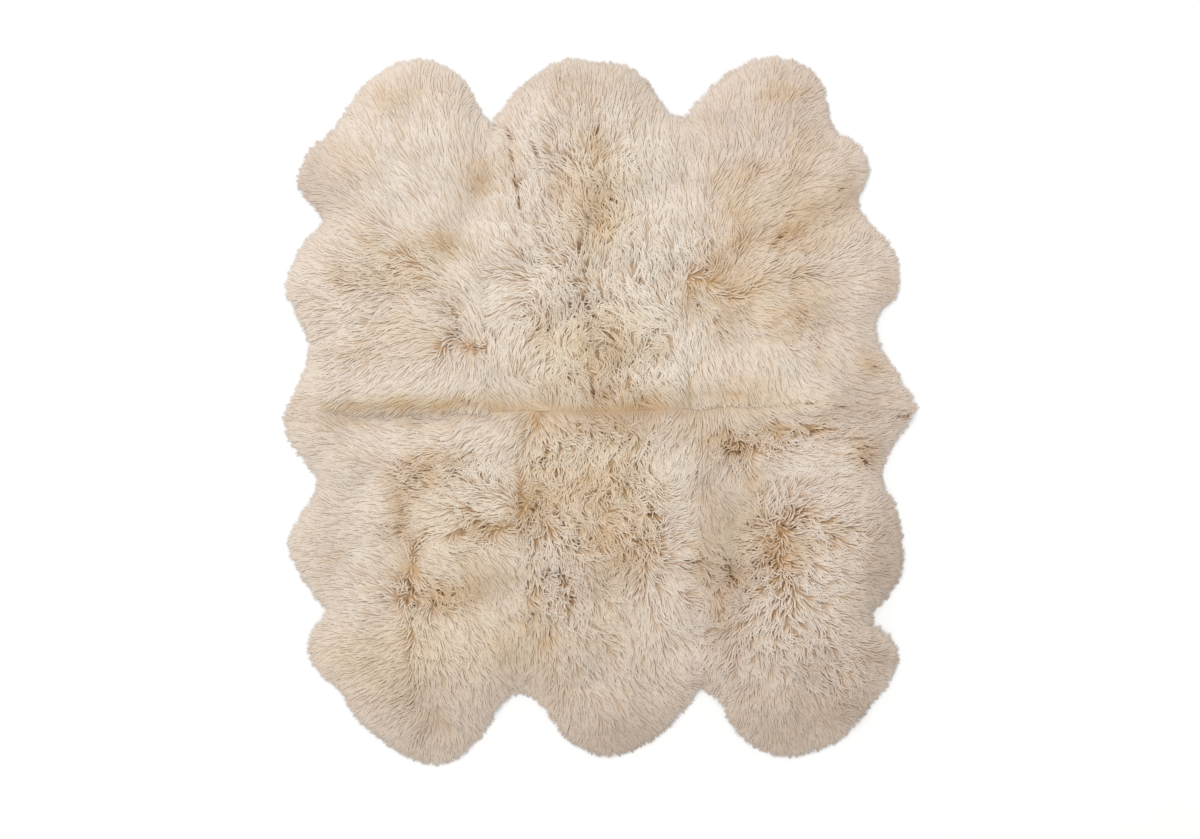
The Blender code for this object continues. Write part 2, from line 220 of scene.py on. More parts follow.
def read_ring(name):
    """A pelt's ring in mm, anticlockwise, and which of its points lie on the free rim."""
    bm = merged_copy(name)
    border = underside_border(bm)
    count = len(border)
    tips = {i for i, vert in enumerate(border) if not has_wall(vert)}
    waists = {(i + side) % count for i in tips for side in (-1, 1)}
    kept = [i for i in range(count) if i not in tips | waists]
    free = [(i + 1) % count in waists or (i - 1) % count in waists for i in kept]
    points = np.array([border[i].co.to_2d() for i in kept]) / MM
    bm.free()
    return Ring(points, np.array(free))


rings = {name: read_ring(name) for name in PELTS}
for name, ring in rings.items():
    print(name, "ring points:", len(ring.points), "on the free rim:", int(ring.free.sum()))

# %% [markdown]
# ## The lie of the surface
#
# Wool is a few centimetres deep, and its top rises and falls in tussocks, sinks along the
# seams and partings, and rolls down to the floor at the rim. The frame holds that surface. It
# is measured once on a fine grid, by looking straight down, and softened a little, which also
# closes the hair's breadth between two skins and lets the rim run out to the floor. The
# result is kept as a helper mesh, the cover, that locks of wool are later laid on.

# %% The cover
COVER_PITCH = 6.0       # mm
COVER_MARGIN = 60.0     # mm past the rug
SOFTENING = (0.06, 0.24, 0.40, 0.24, 0.06)      # shares of a height and its neighbours
SOFTENINGS = 2
LOOK_FROM = 1.0         # metres, a height well above the rug


def heights_from_above():
    """Grid of the frame's height, in mm, and the grid's x and y."""
    low, high = (np.array(corner[:2]) / MM for corner in cad_box)
    xs = np.arange(low[0] - COVER_MARGIN, high[0] + COVER_MARGIN, COVER_PITCH)
    ys = np.arange(low[1] - COVER_MARGIN, high[1] + COVER_MARGIN, COVER_PITCH)
    grid = np.zeros((len(ys), len(xs)))
    down = Vector((0, 0, -1))
    for name in PELTS:
        bm = merged_copy(name)
        tree = BVHTree.FromBMesh(bm)
        spots = np.array([vert.co.to_2d() for vert in bm.verts]) / MM
        bm.free()
        first = np.searchsorted(xs, spots[:, 0].min()), np.searchsorted(ys, spots[:, 1].min())
        last = np.searchsorted(xs, spots[:, 0].max()), np.searchsorted(ys, spots[:, 1].max())
        for j in range(first[1], last[1]):
            for i in range(first[0], last[0]):
                hit = tree.ray_cast(Vector((xs[i] * MM, ys[j] * MM, LOOK_FROM)), down)[0]
                if hit is not None:
                    grid[j, i] = max(grid[j, i], hit.z / MM)
    return xs, ys, grid


def softened(grid):
    """The grid blurred along both of its axes."""
    middle = len(SOFTENING) // 2
    for axis in (0, 1) * SOFTENINGS:
        grid = sum(share * np.roll(grid, step - middle, axis=axis)
                   for step, share in enumerate(SOFTENING))
    return grid


cover_x, cover_y, cover_z = heights_from_above()
cover_z = softened(cover_z)
print("cover:", cover_z.shape, "highest, mm:", round(cover_z.max(), 1))


# %% The cover as a helper mesh, and its height anywhere
def grid_mesh(name, xs, ys, zs):
    """A mesh over a grid of heights in mm."""
    x, y = np.meshgrid(xs, ys)
    verts = np.stack([x, y, zs], axis=2).reshape(-1, 3) * MM
    index = np.arange(len(verts)).reshape(zs.shape)
    quads = np.stack([index[:-1, :-1], index[:-1, 1:], index[1:, 1:], index[1:, :-1]], axis=2)
    mesh = bpy.data.meshes.new(name)
    mesh.from_pydata(verts.tolist(), [], quads.reshape(-1, 4).tolist())
    return mesh


def height_at(points):
    """The cover's height in mm at points in mm."""
    u = (points[:, 0] - cover_x[0]) / COVER_PITCH
    v = (points[:, 1] - cover_y[0]) / COVER_PITCH
    i, j = u.astype(int), v.astype(int)
    a, b = u - i, v - j
    return ((1 - b) * ((1 - a) * cover_z[j, i] + a * cover_z[j, i + 1])
            + b * ((1 - a) * cover_z[j + 1, i] + a * cover_z[j + 1, i + 1]))


cover = bpy.data.objects.new("cover", grid_mesh("cover", cover_x, cover_y, cover_z))
bpy.context.scene.collection.objects.link(cover)
print("cover faces:", len(cover.data.polygons))

# %% [markdown]
# ## Which way the wool is combed
#
# On a sheepskin the wool runs from the backbone out to the belly and down the legs, and a rug
# has been combed as well, so its lie changes slowly, with a few whorls and partings. Such a
# field can be drawn by a formula, or set by a few dozen strokes of the comb on each skin, with
# the wool between them following the nearest. Strokes are used, because each can be read off a
# picture and moved by itself. These were read off enlarged pieces of the photo, most of them
# with the measured direction of the fibres drawn on top as a guide. An angle is the way the
# tips point, in degrees, 0 to the right and 90 up the rug. All places are in millimetres from
# the middle of the rug. Where two ways of combing meet, they slide past each other, since wool
# that is combed apart on both sides of a line would leave it bald.

# %% Strokes of the comb
Stroke = namedtuple("Stroke", "x y angle")


def table(columns, *rows):
    """Rows of numbers with named columns."""
    return tuple(columns(*row) for row in rows)


STROKES = {
    "pelt_top_left": table(
        Stroke,
        (-470, 880, 100), (-575, 720, 120), (-420, 700, 105), (-320, 680, 100), (-650, 590, 140),
        (-740, 550, 155), (-520, 520, 125), (-340, 480, 115), (-680, 450, 155), (-380, 370, 140),
        (-720, 320, 175), (-590, 290, 205), (-600, 440, 155), (-560, 390, 170), (-640, 370, 172),
        (-490, 430, 148), (-480, 340, 180), (-540, 340, 190), (-420, 260, 160), (-680, 210, 195),
        (-520, 170, 205), (-300, 380, 120), (-290, 270, 125), (-290, 195, 105), (-310, 130, 268),
        (-340, 70, 235), (-620, 70, 210), (-440, 50, 220), (-750, 30, 185)),
    "pelt_top_middle": table(
        Stroke,
        (-250, 700, 112), (-190, 780, 115), (-90, 850, 95), (10, 850, 85), (110, 800, 75),
        (190, 700, 95), (-200, 560, 108), (-130, 680, 125), (-50, 700, 100), (30, 700, 65),
        (150, 560, 102), (-60, 540, 120), (-190, 440, 120), (-110, 430, 125), (-40, 430, 100),
        (60, 430, 78), (140, 440, 83), (200, 420, 100), (-190, 370, 150), (-100, 360, 135),
        (0, 360, 92), (90, 370, 90), (190, 330, 96), (-210, 310, 200), (-110, 310, 125),
        (-30, 310, 112), (50, 310, 105), (120, 300, 130), (-200, 255, 215), (-130, 250, 92),
        (-60, 260, 90), (10, 250, 118), (80, 250, 145), (150, 230, 145), (-190, 180, 65),
        (-100, 180, 78), (-20, 170, 100), (50, 160, 95), (110, 140, 70), (190, 170, 100),
        (-150, 100, 50), (-60, 80, 103), (20, 90, 88), (110, 90, 78), (190, 80, 110),
        (-180, 30, 130), (-60, 20, 105), (30, 20, 112), (110, 30, 125), (190, 20, 118)),
    "pelt_top_right": table(
        Stroke,
        (260, 760, 95), (360, 850, 80), (500, 870, 65), (590, 790, 20), (270, 620, 85),
        (360, 700, 95), (460, 690, 75), (560, 680, 40), (670, 620, 15), (320, 560, 60),
        (420, 550, 20), (540, 540, 10), (640, 490, 50), (255, 490, 100), (250, 410, 107),
        (315, 420, 92), (340, 350, 55), (260, 300, 305), (400, 390, 25), (470, 440, 30),
        (700, 380, 10), (430, 270, 345), (520, 240, 320), (320, 250, 305), (250, 180, 278),
        (330, 170, 288), (270, 90, 290), (350, 90, 282), (260, 30, 300), (350, 30, 300),
        (430, 130, 290), (600, 180, 310), (690, 230, 345), (700, 110, 345), (600, 40, 340),
        (770, 30, 0)),
    "pelt_bottom_left": table(
        Stroke,
        (-770, -50, 160), (-620, -80, 158), (-680, -180, 158), (-560, -230, 185),
        (-740, -310, 195), (-640, -370, 175), (-720, -500, 180), (-400, -60, 175),
        (-330, -60, 215), (-250, -60, 225), (-520, -110, 160), (-450, -120, 190),
        (-380, -110, 192), (-310, -100, 220), (-250, -110, 235), (-450, -170, 180),
        (-390, -190, 175), (-290, -180, 142), (-240, -180, 135), (-490, -210, 190),
        (-440, -245, 182), (-350, -230, 140), (-290, -250, 170), (-240, -250, 175),
        (-450, -295, 188), (-380, -290, 190), (-300, -290, 187), (-440, -350, 348),
        (-350, -345, 358), (-250, -345, 325), (-520, -360, 160), (-600, -450, 155),
        (-540, -440, 150), (-430, -400, 323), (-380, -400, 318), (-310, -400, 305),
        (-240, -400, 298), (-430, -455, 310), (-370, -460, 308), (-310, -460, 288),
        (-240, -460, 292), (-580, -505, 165), (-450, -500, 288), (-400, -510, 300),
        (-350, -520, 305), (-250, -510, 298), (-600, -560, 182), (-530, -560, 195),
        (-450, -560, 290), (-380, -570, 303), (-310, -570, 312), (-600, -610, 195),
        (-520, -620, 212), (-450, -620, 288), (-370, -630, 304), (-300, -620, 300),
        (-250, -630, 262), (-700, -630, 205), (-600, -680, 200), (-520, -690, 205),
        (-440, -690, 280), (-370, -690, 300), (-290, -690, 292), (-580, -750, 212),
        (-510, -750, 202), (-450, -750, 262), (-390, -750, 296), (-310, -760, 272),
        (-500, -800, 222), (-410, -870, 265), (-350, -820, 275)),
    "pelt_bottom_middle": table(
        Stroke,
        (-215, -30, 215), (-180, -80, 252), (-100, -45, 318), (-45, -45, 315), (0, -40, 290),
        (50, -30, 285), (100, -50, 278), (150, -60, 270), (200, -60, 240), (-200, -120, 273),
        (-120, -115, 272), (-50, -115, 218), (10, -115, 255), (60, -110, 262), (120, -110, 272),
        (190, -120, 245), (-205, -175, 308), (-150, -170, 280), (-85, -170, 247),
        (-25, -170, 252), (25, -180, 280), (75, -190, 298), (120, -170, 305), (185, -185, 38),
        (220, -200, 60), (-150, -225, 272), (-80, -225, 265), (-20, -215, 262), (40, -235, 315),
        (90, -245, 310), (120, -220, 275), (180, -250, 35), (220, -260, 50), (-190, -270, 308),
        (-120, -285, 325), (-50, -285, 318), (15, -285, 322), (60, -300, 340), (115, -280, 268),
        (185, -300, 18), (225, -310, 35), (-180, -340, 260), (-115, -330, 268), (-50, -345, 315),
        (10, -350, 306), (80, -345, 300), (120, -360, 292), (185, -360, 350), (225, -370, 20),
        (-180, -410, 277), (-120, -410, 285), (-75, -400, 322), (-20, -395, 298), (40, -395, 278),
        (90, -400, 250), (150, -410, 300), (190, -430, 318), (225, -450, 352), (-180, -470, 263),
        (-100, -460, 282), (-35, -455, 292), (15, -465, 300), (80, -450, 228), (145, -460, 288),
        (-200, -540, 268), (-150, -540, 262), (-105, -540, 275), (-60, -560, 302),
        (-200, -600, 256), (-150, -600, 265), (-100, -610, 286), (-50, -620, 310),
        (-200, -660, 248), (-140, -660, 256), (50, -500, 305), (110, -520, 265), (200, -490, 310),
        (0, -620, 315), (120, -620, 280), (220, -600, 308), (-95, -670, 290), (-40, -690, 303),
        (-140, -720, 262), (-40, -790, 290), (80, -790, 305), (190, -720, 310)),
    "pelt_bottom_right": table(
        Stroke,
        (290, -140, 255), (340, -220, 300), (440, -100, 320), (560, -100, 358), (700, -60, 10),
        (780, -40, 25), (690, -150, 345), (570, -210, 25), (460, -230, 75), (700, -270, 30),
        (330, -380, 315), (400, -330, 185), (420, -470, 225), (530, -340, 328), (640, -360, 340),
        (750, -340, 355), (560, -470, 325), (700, -480, 335), (330, -600, 230), (400, -640, 262),
        (440, -600, 280), (450, -670, 285), (490, -600, 300), (560, -600, 315), (680, -590, 328),
        (340, -710, 245), (440, -760, 275), (560, -750, 306), (500, -860, 285), (650, -700, 315),
        (740, -650, 330)),
}
print("strokes:", {name: len(rows) for name, rows in STROKES.items()})

# %% [markdown]
# ## Curls, partings, stains, painted shade and painted light
#
# Three more things change from place to place. Where wool was not combed straight it stands up
# in curls, mostly over the backbone. Here and there it parts, and a short dark crevice shows
# between the locks. And wool is never one colour: the tips are bleached cream, but deeper wool
# is tan, and elsewhere it is golden or rosy. Shade and light are painted in patches as well:
# greyer patches are painted shade, mostly at the lower and right rims and along the seam between
# the rows, and paler patches are partly bleached wool and partly painted light. A painted picture
# could hold all this, but short tables can be read and changed. Curls and colours are oval
# patches that fade out, one row each: centre, half width, half height and strength. A parting is
# a short line: middle, angle in degrees, length and depth. All were placed by looking at the
# photo, and the patches were then moved where renders differed from it.

# %% Patches of curls
Patch = namedtuple("Patch", "x y wide high strength")
CURLS = table(
    Patch,
    # Top left
    (-510, 370, 90, 60, 0.4), (-370, 240, 40, 70, 0.4),
    # Top middle
    (-90, 645, 60, 60, 0.3), (20, 500, 50, 100, 0.5), (-60, 300, 60, 80, 0.6),
    (0, 200, 60, 70, 0.7), (50, 70, 130, 60, 0.55), (-160, 220, 50, 70, 0.4),
    (160, 180, 60, 50, 0.35),
    # Top right
    (270, 370, 50, 70, 0.4), (480, 420, 60, 60, 0.3), (530, 220, 40, 60, 0.4),
    # Bottom left
    (-470, -170, 60, 60, 0.6), (-320, -150, 80, 60, 0.6), (-500, -300, 40, 60, 0.3),
    (-310, -290, 50, 60, 0.6), (-490, -470, 60, 60, 0.45), (-400, -480, 60, 60, 0.6),
    # Bottom middle
    (-130, -120, 60, 60, 0.6), (-160, -260, 60, 90, 0.9), (20, -60, 120, 40, 0.7),
    (60, -180, 80, 70, 0.7), (110, -320, 60, 60, 0.7), (-40, -330, 60, 60, 0.7),
    (-130, -460, 70, 80, 0.7), (30, -430, 70, 50, 0.4),
    # Bottom right
    (390, -80, 120, 35, 0.9), (560, -50, 90, 25, 0.5), (480, -290, 60, 70, 0.5),
    (440, -400, 70, 60, 0.8), (330, -430, 70, 60, 0.6), (690, -110, 40, 40, 0.5),
    (520, -560, 160, 120, 0.35), (640, -680, 110, 90, 0.35),
    # Loosely combed
    (0, 600, 200, 160, 0.25), (110, 350, 120, 120, 0.35), (-120, 400, 110, 110, 0.3),
    (0, 150, 220, 150, 0.35), (0, -250, 200, 200, 0.25), (0, -600, 200, 150, 0.2),
    (560, -350, 160, 160, 0.3), (330, -600, 120, 160, 0.25), (-600, 250, 200, 150, 0.15),
    (-420, -650, 160, 100, 0.2))
print("patches of curls:", len(CURLS))

# %% Partings
Parting = namedtuple("Parting", "x y angle long deep")
PARTINGS = table(
    Parting,
    # Top left
    (-400, 830, 13, 140, 0.3), (-392, 428, -45, 22, 0.5), (-461, 389, 75, 26, 0.4),
    (-412, 350, -35, 32, 0.5), (-342, 316, 85, 36, 0.6), (-454, 316, 15, 80, 0.5),
    (-675, 337, -50, 40, 0.5), (-621, 589, -50, 40, 0.3), (-376, 256, -60, 28, 0.9),
    (-365, 220, 85, 58, 0.9), (-321, 160, 85, 36, 0.7), (-422, 123, 80, 30, 0.5),
    (-297, 214, 60, 36, 0.7), (-641, 131, -5, 32, 0.5), (-545, 264, -60, 20, 0.6),
    (-342, 22, 0, 38, 0.7),
    # Top middle
    (-100, 862, 90, 40, 0.5), (-110, 811, 90, 22, 0.5), (-234, 714, -75, 52, 0.8),
    (-227, 660, -70, 28, 0.8), (-214, 581, -80, 80, 0.8), (-204, 602, 75, 30, 0.7),
    (-207, 534, -80, 64, 0.6), (-139, 576, 75, 38, 0.6), (-124, 555, 80, 50, 0.6),
    (-166, 677, -75, 52, 0.6), (-4, 807, 65, 22, 0.5), (-4, 727, 75, 32, 0.6),
    (-27, 638, -70, 30, 0.7), (39, 547, -30, 40, 0.8), (81, 521, -75, 30, 0.5),
    (-25, 506, 85, 100, 0.6), (-51, 430, 85, 48, 0.9), (-155, 495, -60, 64, 0.6),
    (-199, 412, -70, 28, 0.8), (-217, 464, -80, 40, 0.6), (-108, 370, -35, 52, 0.6),
    (-53, 329, 60, 26, 0.8), (194, 363, 60, 34, 0.7), (110, 337, -45, 40, 0.7),
    (224, 521, 80, 26, 0.5), (-31, 277, -55, 44, 1.0), (-11, 246, -55, 34, 1.0),
    (-74, 282, 75, 40, 0.6), (-134, 253, 80, 30, 0.6), (-130, 210, 75, 32, 0.7),
    (-77, 90, -75, 36, 0.8), (-47, 58, 80, 22, 0.9), (-17, 47, 85, 22, 0.8),
    (11, 166, -60, 36, 0.9), (-11, 176, 40, 26, 0.7), (29, 194, -40, 34, 0.8),
    (53, 162, 60, 26, 0.7), (168, 210, 0, 20, 0.8), (121, 198, 5, 30, 0.6),
    (184, 138, 60, 26, 0.8), (152, 58, -55, 34, 0.6), (55, 90, 80, 36, 0.5),
    # Top right
    (337, 677, -75, 22, 0.6), (290, 446, -60, 28, 0.8), (295, 425, -80, 26, 0.8),
    (493, 508, -10, 38, 0.6), (474, 454, 35, 36, 0.8), (451, 425, 55, 36, 0.8),
    (465, 391, 60, 26, 0.6), (628, 576, 80, 36, 0.6), (623, 529, 50, 80, 0.4),
    (586, 480, 50, 26, 0.6), (539, 409, -70, 30, 0.6), (251, 480, -40, 16, 0.7),
    (282, 378, 80, 52, 0.5), (246, 308, -50, 40, 0.7), (253, 274, -5, 30, 0.6),
    (305, 239, 70, 20, 0.9), (331, 204, -40, 30, 0.7), (316, 195, -75, 56, 0.6),
    (523, 235, -40, 36, 0.7), (527, 268, -50, 26, 0.6), (568, 168, 80, 22, 0.8),
    (599, 173, 80, 14, 0.6), (606, 90, -60, 26, 0.5), (714, 114, 0, 20, 0.6),
    (547, 20, 5, 60, 0.5), (630, 11, -15, 50, 0.6), (805, -14, 0, 90, 0.7),
    (456, -27, 30, 30, 0.7),
    # Bottom left
    (-525, -137, 45, 20, 0.7), (-434, -142, 10, 36, 0.6), (-474, -177, -60, 22, 0.7),
    (-327, -130, 40, 28, 0.6), (-414, -76, 45, 24, 0.6), (-506, -257, -75, 36, 0.6),
    (-553, -298, 0, 16, 0.8), (-561, -324, -20, 18, 0.8), (-284, -292, -50, 22, 0.7),
    (-304, -304, 30, 24, 0.7), (-311, -339, 40, 20, 0.6), (-480, -467, -55, 20, 0.8),
    (-480, -504, 90, 14, 1.0), (-426, -498, -65, 30, 0.7), (-451, -534, -60, 20, 0.8),
    (-502, -488, -60, 40, 0.7), (-494, -446, -40, 24, 0.7), (-411, -470, -40, 26, 0.6),
    (-558, -486, -50, 50, 0.6), (-376, -513, 20, 16, 0.8), (-233, -537, 10, 26, 0.6),
    (-335, -244, 75, 40, 0.5),
    # Bottom middle
    (-134, -102, 80, 44, 0.9), (-151, -139, 80, 26, 0.8), (76, -73, 80, 18, 0.8),
    (131, -86, 75, 30, 0.8), (49, -166, 75, 44, 0.7), (-21, -208, 75, 26, 0.8),
    (120, -207, 90, 12, 1.0), (139, -227, 85, 30, 0.7), (135, -258, 75, 34, 0.9),
    (93, -300, -50, 30, 0.9), (105, -326, -55, 40, 0.7), (112, -353, -60, 36, 0.6),
    (-97, -300, 60, 20, 0.9), (-48, -295, -50, 16, 0.8), (-107, -250, 60, 36, 0.8),
    (-53, -338, -60, 34, 0.8), (-139, -342, 80, 50, 0.7), (-143, -414, 60, 24, 0.9),
    (-116, -418, -20, 60, 0.7), (-86, -437, -40, 20, 0.8), (-71, -490, 80, 56, 1.0),
    (-21, -460, -60, 22, 0.7), (65, -384, 70, 22, 0.7), (156, -437, 85, 90, 0.6),
    (158, -482, -60, 30, 0.6), (-177, -536, 60, 40, 0.9), (-103, -547, 20, 16, 0.8),
    (-128, -578, -60, 30, 0.7), (254, -166, 85, 120, 0.4),
    # Bottom right
    (333, -103, -60, 24, 0.8), (369, -107, 5, 40, 0.7), (456, -165, -20, 24, 0.9),
    (509, -66, 20, 30, 0.8), (553, -55, 15, 50, 0.7), (633, -71, -3, 110, 0.5),
    (685, -95, 20, 30, 0.7), (690, -129, -50, 40, 0.9), (420, -211, 10, 40, 0.6),
    (393, -295, -5, 36, 0.7), (480, -295, 60, 20, 0.9), (472, -319, 70, 20, 0.8),
    (505, -303, -30, 24, 0.8), (532, -295, -40, 34, 0.7), (605, -331, 75, 30, 0.7),
    (449, -371, -15, 50, 0.8), (429, -399, 25, 50, 0.8), (329, -403, 10, 40, 0.7),
    (352, -438, -50, 40, 0.9), (265, -383, 60, 30, 0.7), (241, -393, 0, 60, 0.6),
    (313, -523, 65, 30, 0.7), (740, -323, 5, 40, 0.6))
PARTING_STEP = 3.0      # mm between the points that stand for a parting
PARTING_WANDER = 6.0    # mm, the most that a parting strays from a straight line
PARTING_WAVES = 1.5     # how often it sways over half its length
PARTING_FADE = 0.85     # how much of its depth, squared, is lost towards its ends


def store(mesh, name, kind, domain, values):
    """Stores an attribute on a mesh."""
    made = mesh.attributes.new(name, kind, domain)
    made.data.foreach_set("vector" if kind == "FLOAT_VECTOR" else "value", np.ravel(values))


def parting_points():
    """A helper object: points along each parting, how deep it is there, and which way is across."""
    spots, depths, sides = [], [], []
    for number, row in enumerate(PARTINGS):
        s = np.linspace(-1, 1, max(3, round(row.long / PARTING_STEP) + 1))
        along = np.array([math.cos(math.radians(row.angle)), math.sin(math.radians(row.angle))])
        across = np.array([-along[1], along[0]])
        bow = [noise.noise(Vector((value * PARTING_WAVES, number, 0))) * PARTING_WANDER
               for value in s]
        spots.append(np.array([row.x, row.y]) + np.outer(s * row.long / 2, along)
                     + np.outer(bow, across))
        depths.append(row.deep * np.sqrt(1 - PARTING_FADE * s ** 2))
        sides.append(np.tile(np.append(across, 0), (len(s), 1)))
    spots = np.vstack(spots) * MM
    mesh = bpy.data.meshes.new("partings")
    mesh.from_pydata([(x, y, 0) for x, y in spots], [], [])
    store(mesh, "deep", "FLOAT", "POINT", np.concatenate(depths))
    store(mesh, "across", "FLOAT_VECTOR", "POINT", np.vstack(sides))
    made = bpy.data.objects.new("partings", mesh)
    bpy.context.scene.collection.objects.link(made)
    return made


def parting_ends():
    """Where each parting starts and ends, a shallow one drawn in towards its middle."""
    middles = np.array([(row.x, row.y) for row in PARTINGS], float)
    angles = np.radians([row.angle for row in PARTINGS])
    halves = np.array([row.long * row.deep / 2 for row in PARTINGS])
    half = np.stack([np.cos(angles), np.sin(angles)], axis=1) * halves[:, None]
    return middles - half, middles + half


PARTING_ENDS = parting_ends()
partings = parting_points()
print("partings:", len(PARTINGS), "points:", len(partings.data.vertices))

# %% Patches of colour, of painted shade and of painted light
STAINS_AND_PAINTED_LIGHT = {
    "tan": table(
        Patch,
        (-475, 820, 90, 50, 0.35), (-610, 840, 40, 30, 0.3), (-560, 800, 30, 40, 0.4),
        (-310, 610, 40, 70, 0.7), (-640, 650, 60, 60, 0.3), (-415, 430, 80, 40, 0.7),
        (-600, 450, 50, 30, 0.4), (-665, 350, 40, 40, 0.6), (-520, 350, 60, 50, 0.4),
        (-640, 150, 60, 30, 0.3), (-400, 20, 170, 20, 0.9), (-640, 12, 180, 14, 0.5),
        (50, 150, 50, 50, 0.35), (-330, -470, 60, 50, 0.6), (-500, -220, 50, 60, 0.5),
        (0, 680, 35, 60, 0.5), (0, 520, 45, 80, 0.55), (-80, 835, 50, 50, 0.3),
        (-90, 580, 40, 60, 0.4), (-230, 640, 20, 90, 0.4), (0, 190, 60, 90, 0.5),
        (-140, 220, 30, 60, 0.4), (-100, 60, 80, 40, 0.4), (60, 30, 130, 40, 0.9),
        (150, 150, 50, 40, 0.5), (480, 820, 70, 40, 0.6), (370, 610, 70, 40, 0.6),
        (500, 600, 40, 30, 0.5), (650, 570, 40, 60, 0.6), (350, 400, 50, 150, 0.7),
        (500, 450, 70, 50, 0.8), (510, 270, 40, 60, 0.6), (570, 150, 20, 70, 0.3),
        (240, 320, 30, 50, 0.9), (350, 60, 90, 60, 0.7), (700, 120, 40, 40, 0.7),
        (750, 320, 30, 40, 0.5), (545, 690, 60, 60, 0.5), (555, 500, 50, 90, 0.5),
        (330, 280, 40, 130, 0.45), (470, 240, 50, 80, 0.4), (450, 370, 70, 30, 0.6),
        (720, 20, 80, 40, 0.3), (-450, -160, 70, 40, 0.8), (-510, -310, 40, 50, 0.8),
        (-300, -300, 60, 30, 0.8), (-500, -450, 50, 70, 0.8), (-420, -490, 50, 40, 0.7),
        (-400, -110, 50, 30, 0.4), (-440, -800, 50, 60, 0.4), (-550, -750, 80, 20, 0.4),
        (-680, -350, 50, 80, 0.2), (-570, -35, 180, 16, 0.4), (-260, -440, 60, 40, 0.4),
        (-260, -620, 40, 60, 0.3), (-190, -250, 35, 90, 0.9), (-110, -230, 40, 60, 0.8),
        (0, -40, 150, 28, 0.9), (-190, -90, 30, 90, 0.5), (-30, -180, 50, 60, 0.6),
        (100, -330, 50, 80, 0.6), (80, -130, 20, 60, 0.6), (-175, -530, 30, 50, 0.9),
        (-140, -610, 30, 40, 0.7), (0, -320, 60, 60, 0.6), (-100, -740, 60, 60, 0.4),
        (30, -400, 60, 60, 0.5), (440, -48, 140, 22, 0.9), (370, -95, 70, 30, 0.9),
        (290, -60, 60, 30, 0.7), (695, -100, 35, 45, 0.9), (400, -220, 35, 90, 0.5),
        (270, -300, 30, 160, 0.4), (270, -390, 30, 40, 0.6), (350, -430, 40, 40, 0.8),
        (475, -350, 60, 80, 0.8), (610, -350, 40, 40, 0.5), (330, -520, 50, 50, 0.4)),
    "gold": table(
        Patch,
        (0, 530, 80, 140, 0.9), (-90, 160, 140, 100, 0.6), (-470, 370, 120, 80, 0.5),
        (380, 290, 140, 80, 0.6), (510, 520, 150, 60, 0.9), (350, -330, 60, 110, 0.9),
        (-540, -650, 170, 90, 0.9), (-220, -650, 90, 80, 0.9), (-430, -600, 90, 50, 0.6),
        (-430, 20, 250, 26, 0.8), (450, 25, 180, 35, 0.8), (30, 180, 80, 70, 0.8),
        (570, 290, 60, 60, 0.6), (-330, -450, 90, 90, 0.7), (-520, 200, 120, 80, 0.4),
        (-400, -300, 160, 180, 0.4), (20, -200, 160, 150, 0.6), (20, -560, 100, 90, 0.5),
        (-690, -650, 70, 70, 0.4), (-120, -160, 120, 160, 0.4)),
    "rose": table(
        Patch,
        (480, 700, 280, 240, 0.7), (700, 260, 150, 260, 0.6), (-690, 600, 120, 90, 0.3),
        (-560, 150, 260, 160, 0.2), (-370, 230, 40, 90, 0.7), (580, -200, 240, 120, 0.4),
        (330, -520, 90, 160, 0.6), (-590, -560, 140, 100, 0.3), (170, -120, 40, 90, 0.5),
        (560, -700, 260, 160, 0.35)),
    # Paler wool: partly bleached, partly painted light where the wool looked brighter, as just above
    # the seam between the rows
    "pale": table(
        Patch,
        (110, 160, 120, 100, 0.9), (-80, 280, 140, 120, 0.7), (120, 320, 120, 110, 0.6),
        (80, 50, 150, 50, 0.5), (40, 150, 260, 150, 0.5), (460, 130, 80, 60, 0.6),
        (-580, 30, 230, 16, 0.6), (470, -280, 60, 60, 0.5), (-230, -330, 60, 160, 0.3),
        (-520, -460, 60, 60, 0.6), (-520, -340, 50, 100, 0.4), (215, 45, 45, 40, 0.8),
        (-400, 440, 50, 50, 0.6), (-430, -700, 170, 130, 0.3), (530, -630, 150, 110, 0.35),
        (-580, 370, 100, 60, 0.4), (110, 640, 100, 160, 0.5), (-130, 90, 100, 80, 0.5),
        (0, -90, 220, 60, 0.5), (-360, 280, 80, 90, 0.5), (120, 420, 90, 100, 0.5),
        (200, -150, 40, 90, 0.5), (230, 390, 70, 60, 0.5), (-350, -200, 90, 90, 0.4),
        (30, 580, 50, 40, 0.5), (-100, -370, 40, 50, 0.5)),
    # Painted shade: greyer patches at the rims, mostly the lower and right ones, along the seam
    # between the rows, and in a few other darker places
    "shade": table(
        Patch,
        (480, -810, 260, 110, 0.6), (50, -890, 260, 70, 0.6), (-450, -760, 240, 150, 0.5),
        (770, -330, 70, 200, 0.7), (-730, 600, 80, 140, 0.4), (300, -250, 60, 180, 0.5),
        (-700, -300, 120, 300, 0.25), (-60, -440, 200, 80, 0.3), (700, 0, 120, 100, 0.4),
        (20, 850, 250, 60, 0.4), (735, -640, 60, 30, 0.9), (650, -780, 80, 50, 0.95),
        (640, -680, 150, 120, 0.3), (750, -440, 80, 120, 0.85), (520, -640, 200, 110, 0.2),
        (60, -840, 220, 110, 0.7), (-550, -14, 260, 13, 0.8), (70, -14, 160, 14, 0.7),
        (600, -10, 220, 12, 0.6), (330, 740, 70, 60, 0.3), (500, 760, 70, 50, 0.3),
        (560, 520, 60, 40, 0.4), (350, -290, 40, 100, 0.4), (-220, -650, 60, 70, 0.4),
        (-320, -430, 60, 80, 0.35), (60, -45, 170, 30, 0.35), (570, 270, 50, 90, 0.35),
        (330, 240, 60, 60, 0.25), (490, -880, 200, 80, 0.6), (-460, -880, 200, 70, 0.4),
        (330, -480, 60, 220, 0.4), (-20, -640, 200, 100, 0.4), (450, 880, 250, 30, 0.3),
        (-760, 600, 40, 100, 0.3)),
}
print("patches of colour:", {kind: len(rows) for kind, rows in STAINS_AND_PAINTED_LIGHT.items()})
